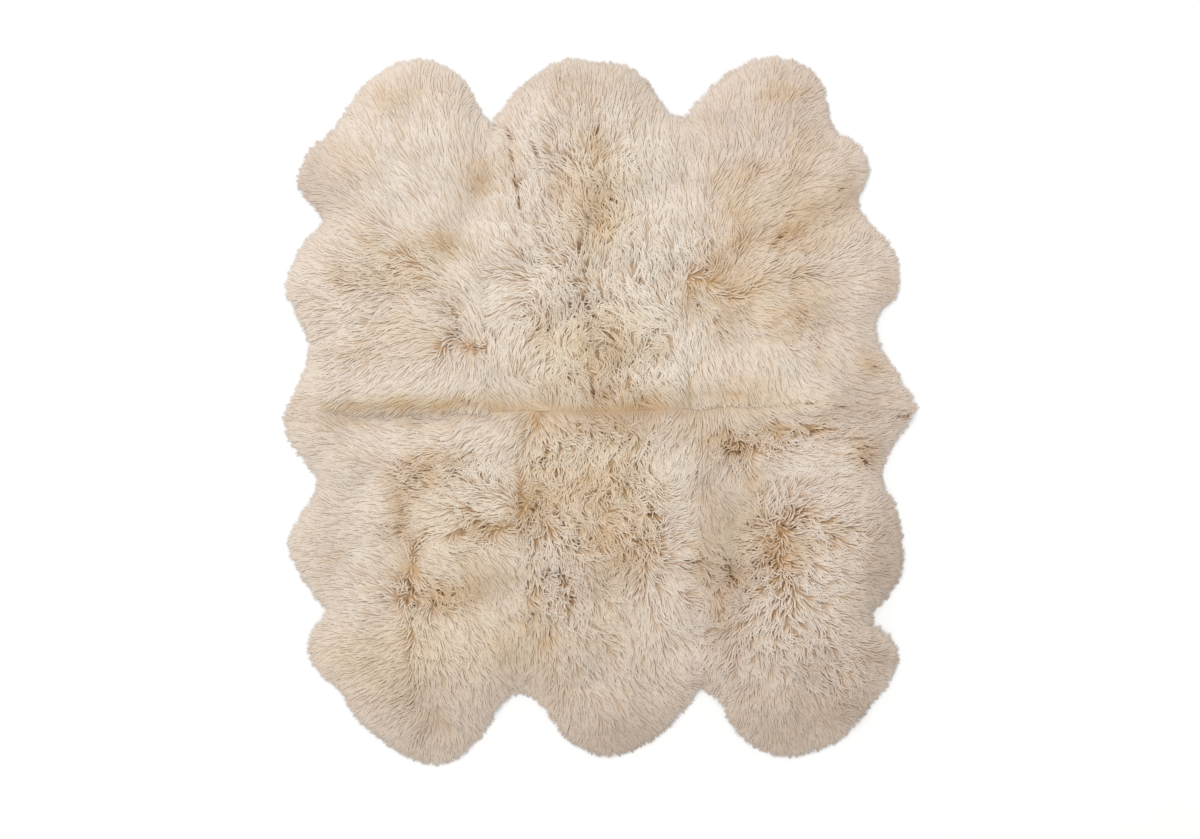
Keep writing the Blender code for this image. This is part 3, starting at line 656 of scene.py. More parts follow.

# %% [markdown]
# ## The fields
#
# Strokes, curls, stains and the patches of painted shade and light are turned into numbers at
# any point of a pelt. Near the free rim the wool is turned outwards, as it falls over the edge of
# the skin, and smooth unevenness makes it sway, more where it curls. Textures could give the
# same, but numbers on points can also tell a lock how much room it has.

# %% Field functions
STROKE_SOFTNESS = 35.0          # mm over which strokes run into each other
STROKE_FALL = 3.0               # higher keeps each stroke to itself
RIM_TURN = 75.0                 # mm over which the wool turns outwards at the free rim
RIM_TURN_SHARE = 0.7            # of the way, right at the rim
WISP_ANGLES = ((75.0, 16.0), (28.0, 11.0))      # size in mm and sway in degrees of gathered wool
CURL_SWAY = (44.0, 75.0)        # the same where it curls
DISORDER = (45.0, 0.8)          # size in mm and share, where the strokes disagree
NOISE_REACH = 1.6               # stretches smooth noise to about -1 to 1
SEEDS = {"astray": (30.0, 40.0), "wisps": 10.0, "curls": 20.0, "seams": 50.0}       # of the noise


def sway(points, size, seed):
    """Smooth unevenness from about -1 to 1, over a size in mm."""
    here = [noise.noise(Vector((x / size, y / size, seed))) for x, y in points]
    return np.array(here) * NOISE_REACH


def patches_at(points, rows):
    """How strongly a kind of patch covers each point, 0 to 1."""
    left = np.ones(len(points))
    for row in rows:
        away = ((points[:, 0] - row.x) / row.wide) ** 2 + ((points[:, 1] - row.y) / row.high) ** 2
        left *= 1 - row.strength * np.exp(-away)
    return 1 - left


def nearest_on(points, line):
    """Distance from each point to the nearest point of a line, and which one it is."""
    gaps = ((points[:, None, :] - line[None, :, :]) ** 2).sum(axis=2)
    return np.sqrt(gaps.min(axis=1)), gaps.argmin(axis=1)


def combed(points, name):
    """Unit vectors of the wool's lie from the strokes. Where they disagree it turns at random."""
    rows = np.array(STROKES[name], float)
    away = ((points[:, None, :] - rows[None, :, :2]) ** 2).sum(axis=2)
    weight = (away + STROKE_SOFTNESS ** 2) ** -STROKE_FALL
    weight /= weight.sum(axis=1)[:, None]
    angle = np.radians(rows[:, 2])
    lie = weight @ np.stack([np.cos(angle), np.sin(angle)], axis=1)
    unsure = 1 - np.linalg.norm(lie, axis=1)
    size, share = DISORDER
    astray = np.stack([sway(points, size, seed) for seed in SEEDS["astray"]], axis=1)
    lie = lie + astray * (share * unsure)[:, None]
    return lie / np.linalg.norm(lie, axis=1)[:, None]


def turned(vectors, degrees):
    """Vectors in the plane turned by an angle each."""
    c, s = np.cos(np.radians(degrees)), np.sin(np.radians(degrees))
    x, y = vectors[:, 0], vectors[:, 1]
    return np.stack([x * c - y * s, x * s + y * c], axis=1)


print("lie at the middle of the rug:", combed(np.array([[0.0, 60.0]]), "pelt_top_middle").round(2))

# %% [markdown]
# ## Ground for the wool
#
# Wool grows from a surface, so each pelt gets a ground: the cover lowered by the depth of the
# top layer of locks. It is what shows, dark and deep, wherever locks part. Its border is the
# pelt's ring, its top is a triangulated field of evenly spread points, and its foot stays just
# clear of the hide. The ground also carries the fields as attributes of its vertices, where the
# growing locks pick them up: the lie, the curls, the colours, and how much room a lock has ahead
# of it before it would leave the pelt or cross a parting.

# %% Points over a pelt
RIM_REACH = 14.0                # mm from the ring to the mean outline of the rug
SEAM_OVERLAP = 20.0             # mm that wool may lie over a neighbour at an upright seam
VALLEY_OVERLAP = 8.0            # the same along the seam between the rows
VALLEY_BAND = 25.0              # mm either side of the middle that holds that seam
SEAM_WANDER = (45.0, 10.0)      # size and depth in mm of the overlap's unevenness
LINE_STEP = 4.0                 # mm between points that stand for a line
EDGE_GAP = 0.55                 # of the pitch, that points keep from an outline


def drawn_in(ring, distances):
    """An anticlockwise ring with each point moved inwards by its own distance."""
    before = ring - np.roll(ring, 1, axis=0)
    after = np.roll(before, -1, axis=0)
    normals = []
    for edge in (before, after):
        unit = edge / np.linalg.norm(edge, axis=1)[:, None]
        normals.append(np.stack([-unit[:, 1], unit[:, 0]], axis=1))
    spread = 1.0 + np.sum(normals[0] * normals[1], axis=1)
    return ring + (normals[0] + normals[1]) * (distances / spread)[:, None]


def inside(points, ring):
    """Which points lie within a closed ring."""
    x, y = points[:, 0][:, None], points[:, 1][:, None]
    x1, y1 = ring[:, 0], ring[:, 1]
    x2, y2 = np.roll(x1, -1), np.roll(y1, -1)
    crosses = (y1 > y) != (y2 > y)
    with np.errstate(divide="ignore", invalid="ignore"):
        left_of = x < (x2 - x1) * (y - y1) / (y2 - y1) + x1
    return (crosses & left_of).sum(axis=1) % 2 == 1


def filled(ring):
    """A closed ring with points added along its edges, and the ring index behind each."""
    closed = np.vstack([ring, ring[:1]])
    lengths = np.concatenate([[0], np.cumsum(np.linalg.norm(np.diff(closed, axis=0), axis=1))])
    wanted = np.arange(0, lengths[-1], LINE_STEP)
    line = np.stack([np.interp(wanted, lengths, closed[:, k]) for k in range(2)], axis=1)
    return line, np.searchsorted(lengths, wanted, side="right") - 1


def spread_points(ring, pitch):
    """Points in staggered rows within a ring, clear of its edge."""
    low, high = ring.min(axis=0), ring.max(axis=0)
    rows = []
    for row, y in enumerate(np.arange(low[1], high[1], pitch * math.sqrt(3) / 2)):
        x = np.arange(low[0] + (row % 2) * pitch / 2, high[0], pitch)
        rows.append(np.stack([x, np.full(len(x), y)], axis=1))
    points = np.vstack(rows)
    points = points[inside(points, ring)]
    return points[nearest_on(points, filled(ring)[0])[0] > pitch * EDGE_GAP]


def room_ahead(points, lie, starts, ends):
    """Distance from each point, along its lie, to the first of some line pieces."""
    edge = ends - starts
    to_start = starts[None, :, :] - points[:, None, :]
    cross = lie[:, None, 0] * edge[None, :, 1] - lie[:, None, 1] * edge[None, :, 0]
    with np.errstate(divide="ignore", invalid="ignore"):
        ahead = (to_start[:, :, 0] * edge[:, 1] - to_start[:, :, 1] * edge[:, 0]) / cross
        share = (to_start[:, :, 0] * lie[:, None, 1] - to_start[:, :, 1] * lie[:, None, 0]) / cross
    ahead[~((ahead > 0) & (share >= 0) & (share <= 1))] = np.inf
    return ahead.min(axis=1)


# %% A pelt's fields
FAN = (-10.0, 0.0, 10.0)        # degrees either side of the lie in which room is looked for
MOST_ROOM = 200.0               # mm
LEAST_ROOM = 6.0
FANNING_STEP = 8.0              # mm, to measure how fast the lie spreads
LOCK_REACH = 40.0               # mm, over which a spreading lie leaves the ground bare
LEAST_FANNING = 0.3             # below this the locks still cover the ground
MOST_FANNED = 0.45              # how far bare ground counts as curled
COLOUR_AHEAD = 24.0             # mm from a root to the part of its lock that shows


def fields_at(points, name, ring):
    """All that the locks need to know at points of a pelt, by attribute name."""
    lie = combed(points, name)
    fanning = sum(combed(points + step, name)[:, axis] - combed(points - step, name)[:, axis]
                  for axis, step in enumerate(np.eye(2) * FANNING_STEP))
    fanning = np.clip(fanning * LOCK_REACH / (2 * FANNING_STEP) - LEAST_FANNING, 0, 1)
    curl = 1 - (1 - patches_at(points, CURLS)) * (1 - MOST_FANNED * fanning)
    line, behind = filled(drawn_in(ring.points, np.where(ring.free, -RIM_REACH, 0.0)))
    rim = line[ring.free[behind]]
    away, which = nearest_on(points, rim)
    out = (rim[which] - points) / np.maximum(away, 1.0)[:, None]
    share = (RIM_TURN_SHARE * np.exp(-(away / RIM_TURN) ** 2))[:, None]
    lie = lie * (1 - share) + out * share
    for number, (size, degrees) in enumerate(WISP_ANGLES):
        lie = turned(lie, degrees * sway(points, size, SEEDS["wisps"] + number))
    lie = turned(lie, CURL_SWAY[1] * curl * sway(points, CURL_SWAY[0], SEEDS["curls"]))
    lie /= np.linalg.norm(lie, axis=1)[:, None]
    border, behind = filled(ring.points)
    size, depth = SEAM_WANDER
    over = np.where(np.abs(border[:, 1]) < VALLEY_BAND, VALLEY_OVERLAP, SEAM_OVERLAP)
    over = over + depth * sway(border, size, SEEDS["seams"])
    outline = drawn_in(border, -np.where(ring.free[behind], RIM_REACH, over))
    starts = np.vstack([outline, PARTING_ENDS[0]])
    ends = np.vstack([np.roll(outline, -1, axis=0), PARTING_ENDS[1]])
    room = np.min([room_ahead(points, turned(lie, angle), starts, ends) for angle in FAN], axis=0)
    room = np.clip(room, LEAST_ROOM, MOST_ROOM)
    fields = {"curl": curl, "room": room * MM, "rim": away * MM}
    shown = points + lie * COLOUR_AHEAD
    fields.update({kind: patches_at(shown, rows) for kind, rows in STAINS_AND_PAINTED_LIGHT.items()})
    return np.column_stack([lie, np.zeros(len(lie))]), fields


# %% The ground as a mesh
GROUND_PITCH = 11.0             # mm between its points
WOOL_DEPTH = (4.0, 9.8)         # mm from the cover to the ground, and what a full curl adds
LOWEST_GROUND = 4.5             # mm above the floor
HIDE_THICKNESS = 1.6            # mm
HIDE_CLEARANCE = 0.3            # mm between the hide and the ground's foot
GROUND_INSET = 2.0              # mm, from the ring at the free rim
GROUND_OVERLAP = 1.0            # mm, into the neighbour at a seam, as its wool is felted there
GROUND_TONE = 0.20              # the ground is coloured like this share of a lock's length
INSIDE_ONLY = 1                 # of the triangulation, keep what is within the ring


def slab(name, ring, inner, foot, tops):
    """A closed flat-footed mesh within a ring. tops gives the height in mm at points in mm."""
    flat = [Vector(point) for point in np.vstack([ring, inner])]
    made = delaunay_2d_cdt(flat, [], [list(range(len(ring)))], INSIDE_ONLY, SAME_POINT / MM)
    coords = np.array([[v.x, v.y] for v in made[0]])
    over = {source: i for i, sources in enumerate(made[3]) for source in sources}
    edge = [over[i] for i in range(len(ring))]
    top = np.column_stack([coords, tops(coords)])
    low = np.column_stack([coords[edge], np.full(len(edge), foot)])
    start = len(top)
    walls = [(start + i, start + (i + 1) % len(edge), edge[(i + 1) % len(edge)], edge[i])
             for i in range(len(edge))]
    base = [tuple(range(start + len(edge) - 1, start - 1, -1))]
    mesh = bpy.data.meshes.new(name)
    mesh.from_pydata((np.vstack([top, low]) * MM).tolist(), [], made[2] + walls + base)
    mesh.shade_smooth()
    return mesh, len(made[2])


def ground_of(name):
    """A pelt's ground, with the fields on its vertices."""
    ring = rings[name]
    edge = drawn_in(ring.points, np.where(ring.free, GROUND_INSET, -GROUND_OVERLAP))

    def tops(at):
        deep = WOOL_DEPTH[0] + WOOL_DEPTH[1] * fields_at(at, name, ring)[1]["curl"]
        return np.maximum(height_at(at) - deep, LOWEST_GROUND)

    mesh, upper = slab(name + "_fleece", edge, spread_points(edge, GROUND_PITCH),
                       HIDE_THICKNESS + HIDE_CLEARANCE, tops)
    places = np.array([vert.co.to_2d() for vert in mesh.vertices]) / MM
    lie, fields = fields_at(places, name, ring)
    store(mesh, "lie", "FLOAT_VECTOR", "POINT", lie)
    for kind, values in fields.items():
        store(mesh, kind, "FLOAT", "POINT", values)
    store(mesh, "along", "FLOAT", "POINT", np.full(len(places), GROUND_TONE))
    store(mesh, "lock", "INT", "POINT", np.full(len(places), -1))
    store(mesh, "grows", "BOOLEAN", "FACE", np.arange(len(mesh.polygons)) < upper)
    on_top = {i for face in mesh.polygons[:upper] for i in face.vertices}
    store(mesh, "top", "BOOLEAN", "POINT", [i in on_top for i in range(len(places))])
    made = bpy.data.objects.new(name + "_fleece", mesh)
    bpy.context.scene.collection.objects.link(made)
    return made


grounds = {name: ground_of(name) for name in PELTS}
print("ground triangles:", {name: len(made.data.polygons) for name, made in grounds.items()})

# %% [markdown]
# ## Locks of wool
#
# Thousands of like things on a surface are what Geometry Nodes are for. The tree scatters
# roots over the ground, puts a curve on each, and then bends every curve by its place: it sets
# out along the lie, is drawn sideways towards the middle of its staple (the tuft of wool that it
# hangs together with), is pushed out of partings, rises out of the ground, and is laid on the
# cover, which a ray cast straight down finds. Last, the curves get a tapering thickness and
# three sides. A hair system could do this too, but it makes strands for a render only, and these
# have to be a mesh with real thickness. There are so many that a lock has ten triangles where
# the wool lies straight, and twenty-two where it curls.

# %% Sizes of the locks
LOCK_SIZES = {                  # mm
    "Spacing": 4.2,             # between roots
    "Length": 48.0,
    "Width": 5.8,
    "Staple Spacing": 15.0,     # between the middles of staples
    "Root Depth": 4.0,          # below the cover
    "Curl Depth": 10.0,         # more than that where it curls
    "Tip Lift": 0.5,            # above the cover
    "Curl Lift": 4.5,           # more than that where it curls
    "Crimp": 5.0,               # a lock's waves to either side where it curls
    "Rim Spread": 3.5,          # tips reach this far short of the outline or past it
    "Rim Clumps": 4.0,          # the same for whole staples
    "Floor Clearance": 0.5,
    "Parting Reach": 8.0,       # to either side of a parting
    "Parting Push": 5.0,        # sideways, out of a parting
    "Parting Depth": 7.0,       # of the ground there
}
LOCK_SHARES = {
    "Thinning": 0.80,           # of the roots, how many stay where the wool lies straight
    "Length Spread": 0.28,      # as a share of the length
    "Curl Shortening": 0.45,
    "Width Spread": 0.3,
    "Curl Widening": 0.35,
    "Flatness": 0.20,           # a lock's height as a share of its width
    "Gather": 0.55,             # how far tips are drawn to the middle of their staple
    "Curl Gather": 0.35,        # more than that where it curls
    "Bend": 0.12,               # sideways, as a share of the length
    "Curl Bend": 0.5,
    "Stray": 0.08,              # each lock's own bend
    "Curl Stray": 0.25,
    "Curl Turn": 1.3,           # radians either way that a staple turns where it curls
}
MOST_ROOTS = 130000.0           # per square metre, before the spacing thins them
ALL_STAY = 0.7                  # the share of curl from which all roots stay
CURLED = 0.35                   # the share of curl from which a lock has more points
LOCK_POINTS = 3
CURLED_POINTS = 5
LOCK_SIDES = 3
PROFILE_TURN = math.radians(-90)        # a flat side down and a ridge on top
SIDEWAYS_POWER = 2.0            # a lock bends aside more and more towards its tip
DEPTH_POWER = 2.0               # and comes up out of the ground soon after its root
TAPER_POWERS = (1.6, 0.8)       # it stays wide to past its middle and then draws to a point
GROUND_PARTING_SHARE = 1.4      # a parting in the ground is this much wider than in the locks
TIP_FROM = 0.99                 # of a lock's length, whose points are merged into one
RAY_LENGTH = 2.0                # metres, from above the rug past the floor
MATH, VECTOR, RANGE = "ShaderNodeMath", "ShaderNodeVectorMath", "ShaderNodeMapRange"
LOOK_UP, STORE = "GeometryNodeInputNamedAttribute", "GeometryNodeStoreNamedAttribute"
BY_INDEX, SCATTER = "GeometryNodeSampleIndex", "GeometryNodeDistributePointsOnFaces"
UP, LEVEL = (0, 0, 1), (1, 1, 0)
print("a lock, mm:", LOCK_SIZES["Length"], "long and", LOCK_SIZES["Width"], "wide")


# %% Roots, gathered in staples
def rooted(tree, given):
    """Adds the nodes that scatter roots on the ground, each with its staple's middle."""
    place = add(tree, "GeometryNodeInputPosition")
    grows = add(tree, LOOK_UP, {"Name": "grows"}, data_type="BOOLEAN")
    scatter = {"Mesh": given["Ground"], "Selection": grows, "Density Max": MOST_ROOTS,
               "Seed": given["Seed"]}
    curl = add(tree, LOOK_UP, {"Name": "curl"}, data_type="FLOAT")
    dense = add(tree, RANGE, {0: curl, 1: 0.0, 2: ALL_STAY, 3: given["Thinning"], 4: 1.0})
    roots = add(tree, SCATTER,
                {**scatter, "Distance Min": given["Spacing"], "Density Factor": dense},
                distribute_method="POISSON")
    middles = add(tree, SCATTER, {**scatter, "Distance Min": given["Staple Spacing"]},
                  distribute_method="POISSON")
    chance = add(tree, "FunctionNodeRandomValue",
                 {"Min": (-1, -1, -1), "Max": (1, 1, 1), "Seed": given["Seed"]},
                 data_type="FLOAT_VECTOR")
    middles = add(tree, STORE, {"Geometry": middles, "Name": "chance", "Value": chance},
                  data_type="FLOAT_VECTOR")
    own = add(tree, LOOK_UP, {"Name": "chance"}, data_type="FLOAT_VECTOR")
    nearest = add(tree, "GeometryNodeSampleNearest",
                  {"Geometry": middles, "Sample Position": place})
    staple, staple_chance = (
        add(tree, BY_INDEX, {"Geometry": middles, "Value": value, "Index": nearest},
            data_type="FLOAT_VECTOR") for value in (place, own))
    index = add(tree, "GeometryNodeInputIndex")
    for name, value, kind in (
            ("root", place, "FLOAT_VECTOR"), ("staple", staple, "FLOAT_VECTOR"),
            ("staple_chance", staple_chance, "FLOAT_VECTOR"), ("chance", chance, "FLOAT_VECTOR"),
            ("lock", index, "INT")):
        roots = add(tree, STORE, {"Geometry": roots, "Name": name, "Value": value}, data_type=kind)
    return roots


# %% Where a lock lies, seen from above
def seen_from_above(tree, given, t, curl, chance, staple_chance):
    """Adds the nodes that place each point of a lock on the plan."""
    root, staple, lie = (add(tree, LOOK_UP, {"Name": name}, data_type="FLOAT_VECTOR")
                         for name in ("root", "staple", "lie"))
    room = add(tree, LOOK_UP, {"Name": "room"}, data_type="FLOAT")

    # It sets out along the lie, turned with its staple where the wool curls
    stray = add(tree, MATH, {0: curl, 1: given["Curl Stray"], 2: given["Stray"]},
                operation="MULTIPLY_ADD")
    stray = add(tree, MATH, {0: stray, 1: chance[2]}, operation="MULTIPLY")
    turn = add(tree, MATH, {0: given["Curl Turn"], 1: staple_chance[0]}, operation="MULTIPLY")
    turn = add(tree, MATH, {0: turn, 1: curl, 2: stray}, operation="MULTIPLY_ADD")
    heading = add(tree, "ShaderNodeVectorRotate", {"Vector": lie, "Angle": turn},
                  rotation_type="Z_AXIS")
    side = add(tree, VECTOR, {0: UP, 1: heading}, operation="CROSS_PRODUCT")

    # Its length, which the rim and the seams cut short
    length = add(tree, MATH, {0: chance[0], 1: given["Length Spread"], 2: 1.0},
                 operation="MULTIPLY_ADD")
    shorter = add(tree, MATH, {0: curl, 1: given["Curl Shortening"]}, operation="MULTIPLY")
    length = add(tree, MATH, {0: length, 1: shorter}, operation="SUBTRACT")
    length = add(tree, MATH, {0: length, 1: given["Length"]}, operation="MULTIPLY")
    for luck, reach in ((chance[1], "Rim Spread"), (staple_chance[1], "Rim Clumps")):
        room = add(tree, MATH, {0: luck, 1: given[reach], 2: room}, operation="MULTIPLY_ADD")
    length = add(tree, MATH, {0: length, 1: room}, operation="MINIMUM")
    ahead = add(tree, MATH, {0: length, 1: t}, operation="MULTIPLY")
    ahead = add(tree, VECTOR, {"Vector": heading, "Scale": ahead}, operation="SCALE")

    # How far it bends aside, and how far it is drawn to the middle of its staple
    bend = add(tree, MATH, {0: curl, 1: given["Curl Bend"], 2: given["Bend"]},
               operation="MULTIPLY_ADD")
    bend = add(tree, MATH, {0: bend, 1: staple_chance[1], 2: stray}, operation="MULTIPLY_ADD")
    bend = add(tree, MATH, {0: bend, 1: length}, operation="MULTIPLY")
    later = add(tree, MATH, {0: t, 1: SIDEWAYS_POWER}, operation="POWER")
    bend = add(tree, MATH, {0: bend, 1: later}, operation="MULTIPLY")
    off = add(tree, VECTOR, {0: staple, 1: root}, operation="SUBTRACT")
    off = add(tree, VECTOR, {0: off, 1: side}, operation="DOT_PRODUCT")
    gather = add(tree, MATH, {0: curl, 1: given["Curl Gather"], 2: given["Gather"]},
                 operation="MULTIPLY_ADD")
    drawn = add(tree, MATH, {0: off, 1: gather}, operation="MULTIPLY")
    wave = add(tree, MATH, {0: t, 1: math.tau}, operation="MULTIPLY")
    wave = add(tree, MATH, {0: wave}, operation="SINE")
    crimp = add(tree, MATH, {0: given["Crimp"], 1: staple_chance[2]}, operation="MULTIPLY")
    crimp = add(tree, MATH, {0: crimp, 1: curl}, operation="MULTIPLY")
    bend = add(tree, MATH, {0: wave, 1: crimp, 2: bend}, operation="MULTIPLY_ADD")
    across = add(tree, MATH, {0: drawn, 1: t, 2: bend}, operation="MULTIPLY_ADD")
    across = add(tree, VECTOR, {"Vector": side, "Scale": across}, operation="SCALE")
    seen = add(tree, VECTOR, {0: root, 1: ahead}, operation="ADD")
    seen = add(tree, VECTOR, {0: seen, 1: across}, operation="ADD")
    return add(tree, VECTOR, {0: seen, 1: LEVEL}, operation="MULTIPLY")


# %% Partings
def parted(tree, given, seen, reach):
    """Adds the nodes that push locks out of a parting. Gives the place and how deep it is in."""
    object_info = add(tree, "GeometryNodeObjectInfo", {"Object": given["Partings"]}).node
    lines = object_info.outputs["Geometry"]
    nearest = add(tree, "GeometryNodeSampleNearest", {"Geometry": lines, "Sample Position": seen})
    place = add(tree, "GeometryNodeInputPosition")
    deep = add(tree, LOOK_UP, {"Name": "deep"}, data_type="FLOAT")
    across = add(tree, LOOK_UP, {"Name": "across"}, data_type="FLOAT_VECTOR")
    line, deep, across = (
        add(tree, BY_INDEX, {"Geometry": lines, "Value": value, "Index": nearest}, data_type=kind)
        for value, kind in ((place, "FLOAT_VECTOR"), (deep, "FLOAT"), (across, "FLOAT_VECTOR")))
    gap = add(tree, VECTOR, {0: seen, 1: line}, operation="SUBTRACT")
    far = add(tree, VECTOR, {0: gap}, operation="LENGTH")
    near = add(tree, RANGE, {0: far, 1: 0.0, 2: reach, 3: deep, 4: 0.0},
               interpolation_type="SMOOTHSTEP")
    aside = add(tree, VECTOR, {0: gap, 1: across}, operation="DOT_PRODUCT")
    aside = add(tree, MATH, {0: aside}, operation="SIGN")
    push = add(tree, MATH, {0: near, 1: given["Parting Push"]}, operation="MULTIPLY")
    push = add(tree, MATH, {0: push, 1: aside}, operation="MULTIPLY")
    push = add(tree, VECTOR, {"Vector": across, "Scale": push}, operation="SCALE")
    return add(tree, VECTOR, {0: seen, 1: push}, operation="ADD"), near


# %% Height and thickness
def laid(tree, given, seen, t, curl, chance, staple_chance):
    """Adds the nodes for the place of each point of a lock, and its thickness there."""
    thickness = add(tree, MATH, {0: chance[1], 1: given["Width Spread"], 2: 1.0},
                    operation="MULTIPLY_ADD")
    thickness = add(tree, MATH, {0: thickness, 1: given["Width"]}, operation="MULTIPLY")
    wider = add(tree, MATH, {0: curl, 1: given["Curl Widening"], 2: 1.0},
                operation="MULTIPLY_ADD")
    thickness = add(tree, MATH, {0: thickness, 1: wider}, operation="MULTIPLY")
    taper = add(tree, MATH, {0: t, 1: TAPER_POWERS[0]}, operation="POWER")
    taper = add(tree, MATH, {0: 1.0, 1: taper}, operation="SUBTRACT")
    taper = add(tree, MATH, {0: taper, 1: TAPER_POWERS[1]}, operation="POWER")
    taper = add(tree, MATH, {0: taper, 1: 0.5}, operation="MULTIPLY")
    thickness = add(tree, MATH, {0: thickness, 1: taper}, operation="MULTIPLY")

    # The cover straight below, and how far under or over it the lock runs
    object_info = add(tree, "GeometryNodeObjectInfo", {"Object": given["Cover"]}).node
    above = add(tree, VECTOR, {0: seen, 1: UP}, operation="ADD")
    cast = add(tree, "GeometryNodeRaycast",
               {"Target Geometry": object_info.outputs["Geometry"], "Source Position": above,
                "Ray Direction": (0, 0, -1), "Ray Length": RAY_LENGTH}).node
    height = add(tree, "ShaderNodeSeparateXYZ", {0: cast.outputs["Hit Position"]}).node.outputs[2]
    depth = add(tree, MATH, {0: 1.0, 1: t}, operation="SUBTRACT")
    depth = add(tree, MATH, {0: depth, 1: DEPTH_POWER}, operation="POWER")
    most = add(tree, MATH, {0: curl, 1: given["Curl Depth"], 2: given["Root Depth"]},
               operation="MULTIPLY_ADD")
    depth = add(tree, MATH, {0: depth, 1: most}, operation="MULTIPLY")
    lift = add(tree, MATH, {0: curl, 1: given["Curl Lift"], 2: given["Tip Lift"]},
               operation="MULTIPLY_ADD")
    odds = add(tree, MATH, {0: chance[2], 1: staple_chance[2]}, operation="ADD")
    lift = add(tree, MATH, {0: lift, 1: odds}, operation="MULTIPLY")
    height = add(tree, MATH, {0: height, 1: depth}, operation="SUBTRACT")
    height = add(tree, MATH, {0: lift, 1: t, 2: height}, operation="MULTIPLY_ADD")
    lowest = add(tree, MATH, {0: thickness, 1: given["Floor Clearance"]}, operation="ADD")
    height = add(tree, MATH, {0: height, 1: lowest}, operation="MAXIMUM")
    height = add(tree, VECTOR, {"Vector": UP, "Scale": height}, operation="SCALE")
    return add(tree, VECTOR, {0: seen, 1: height}, operation="ADD"), thickness


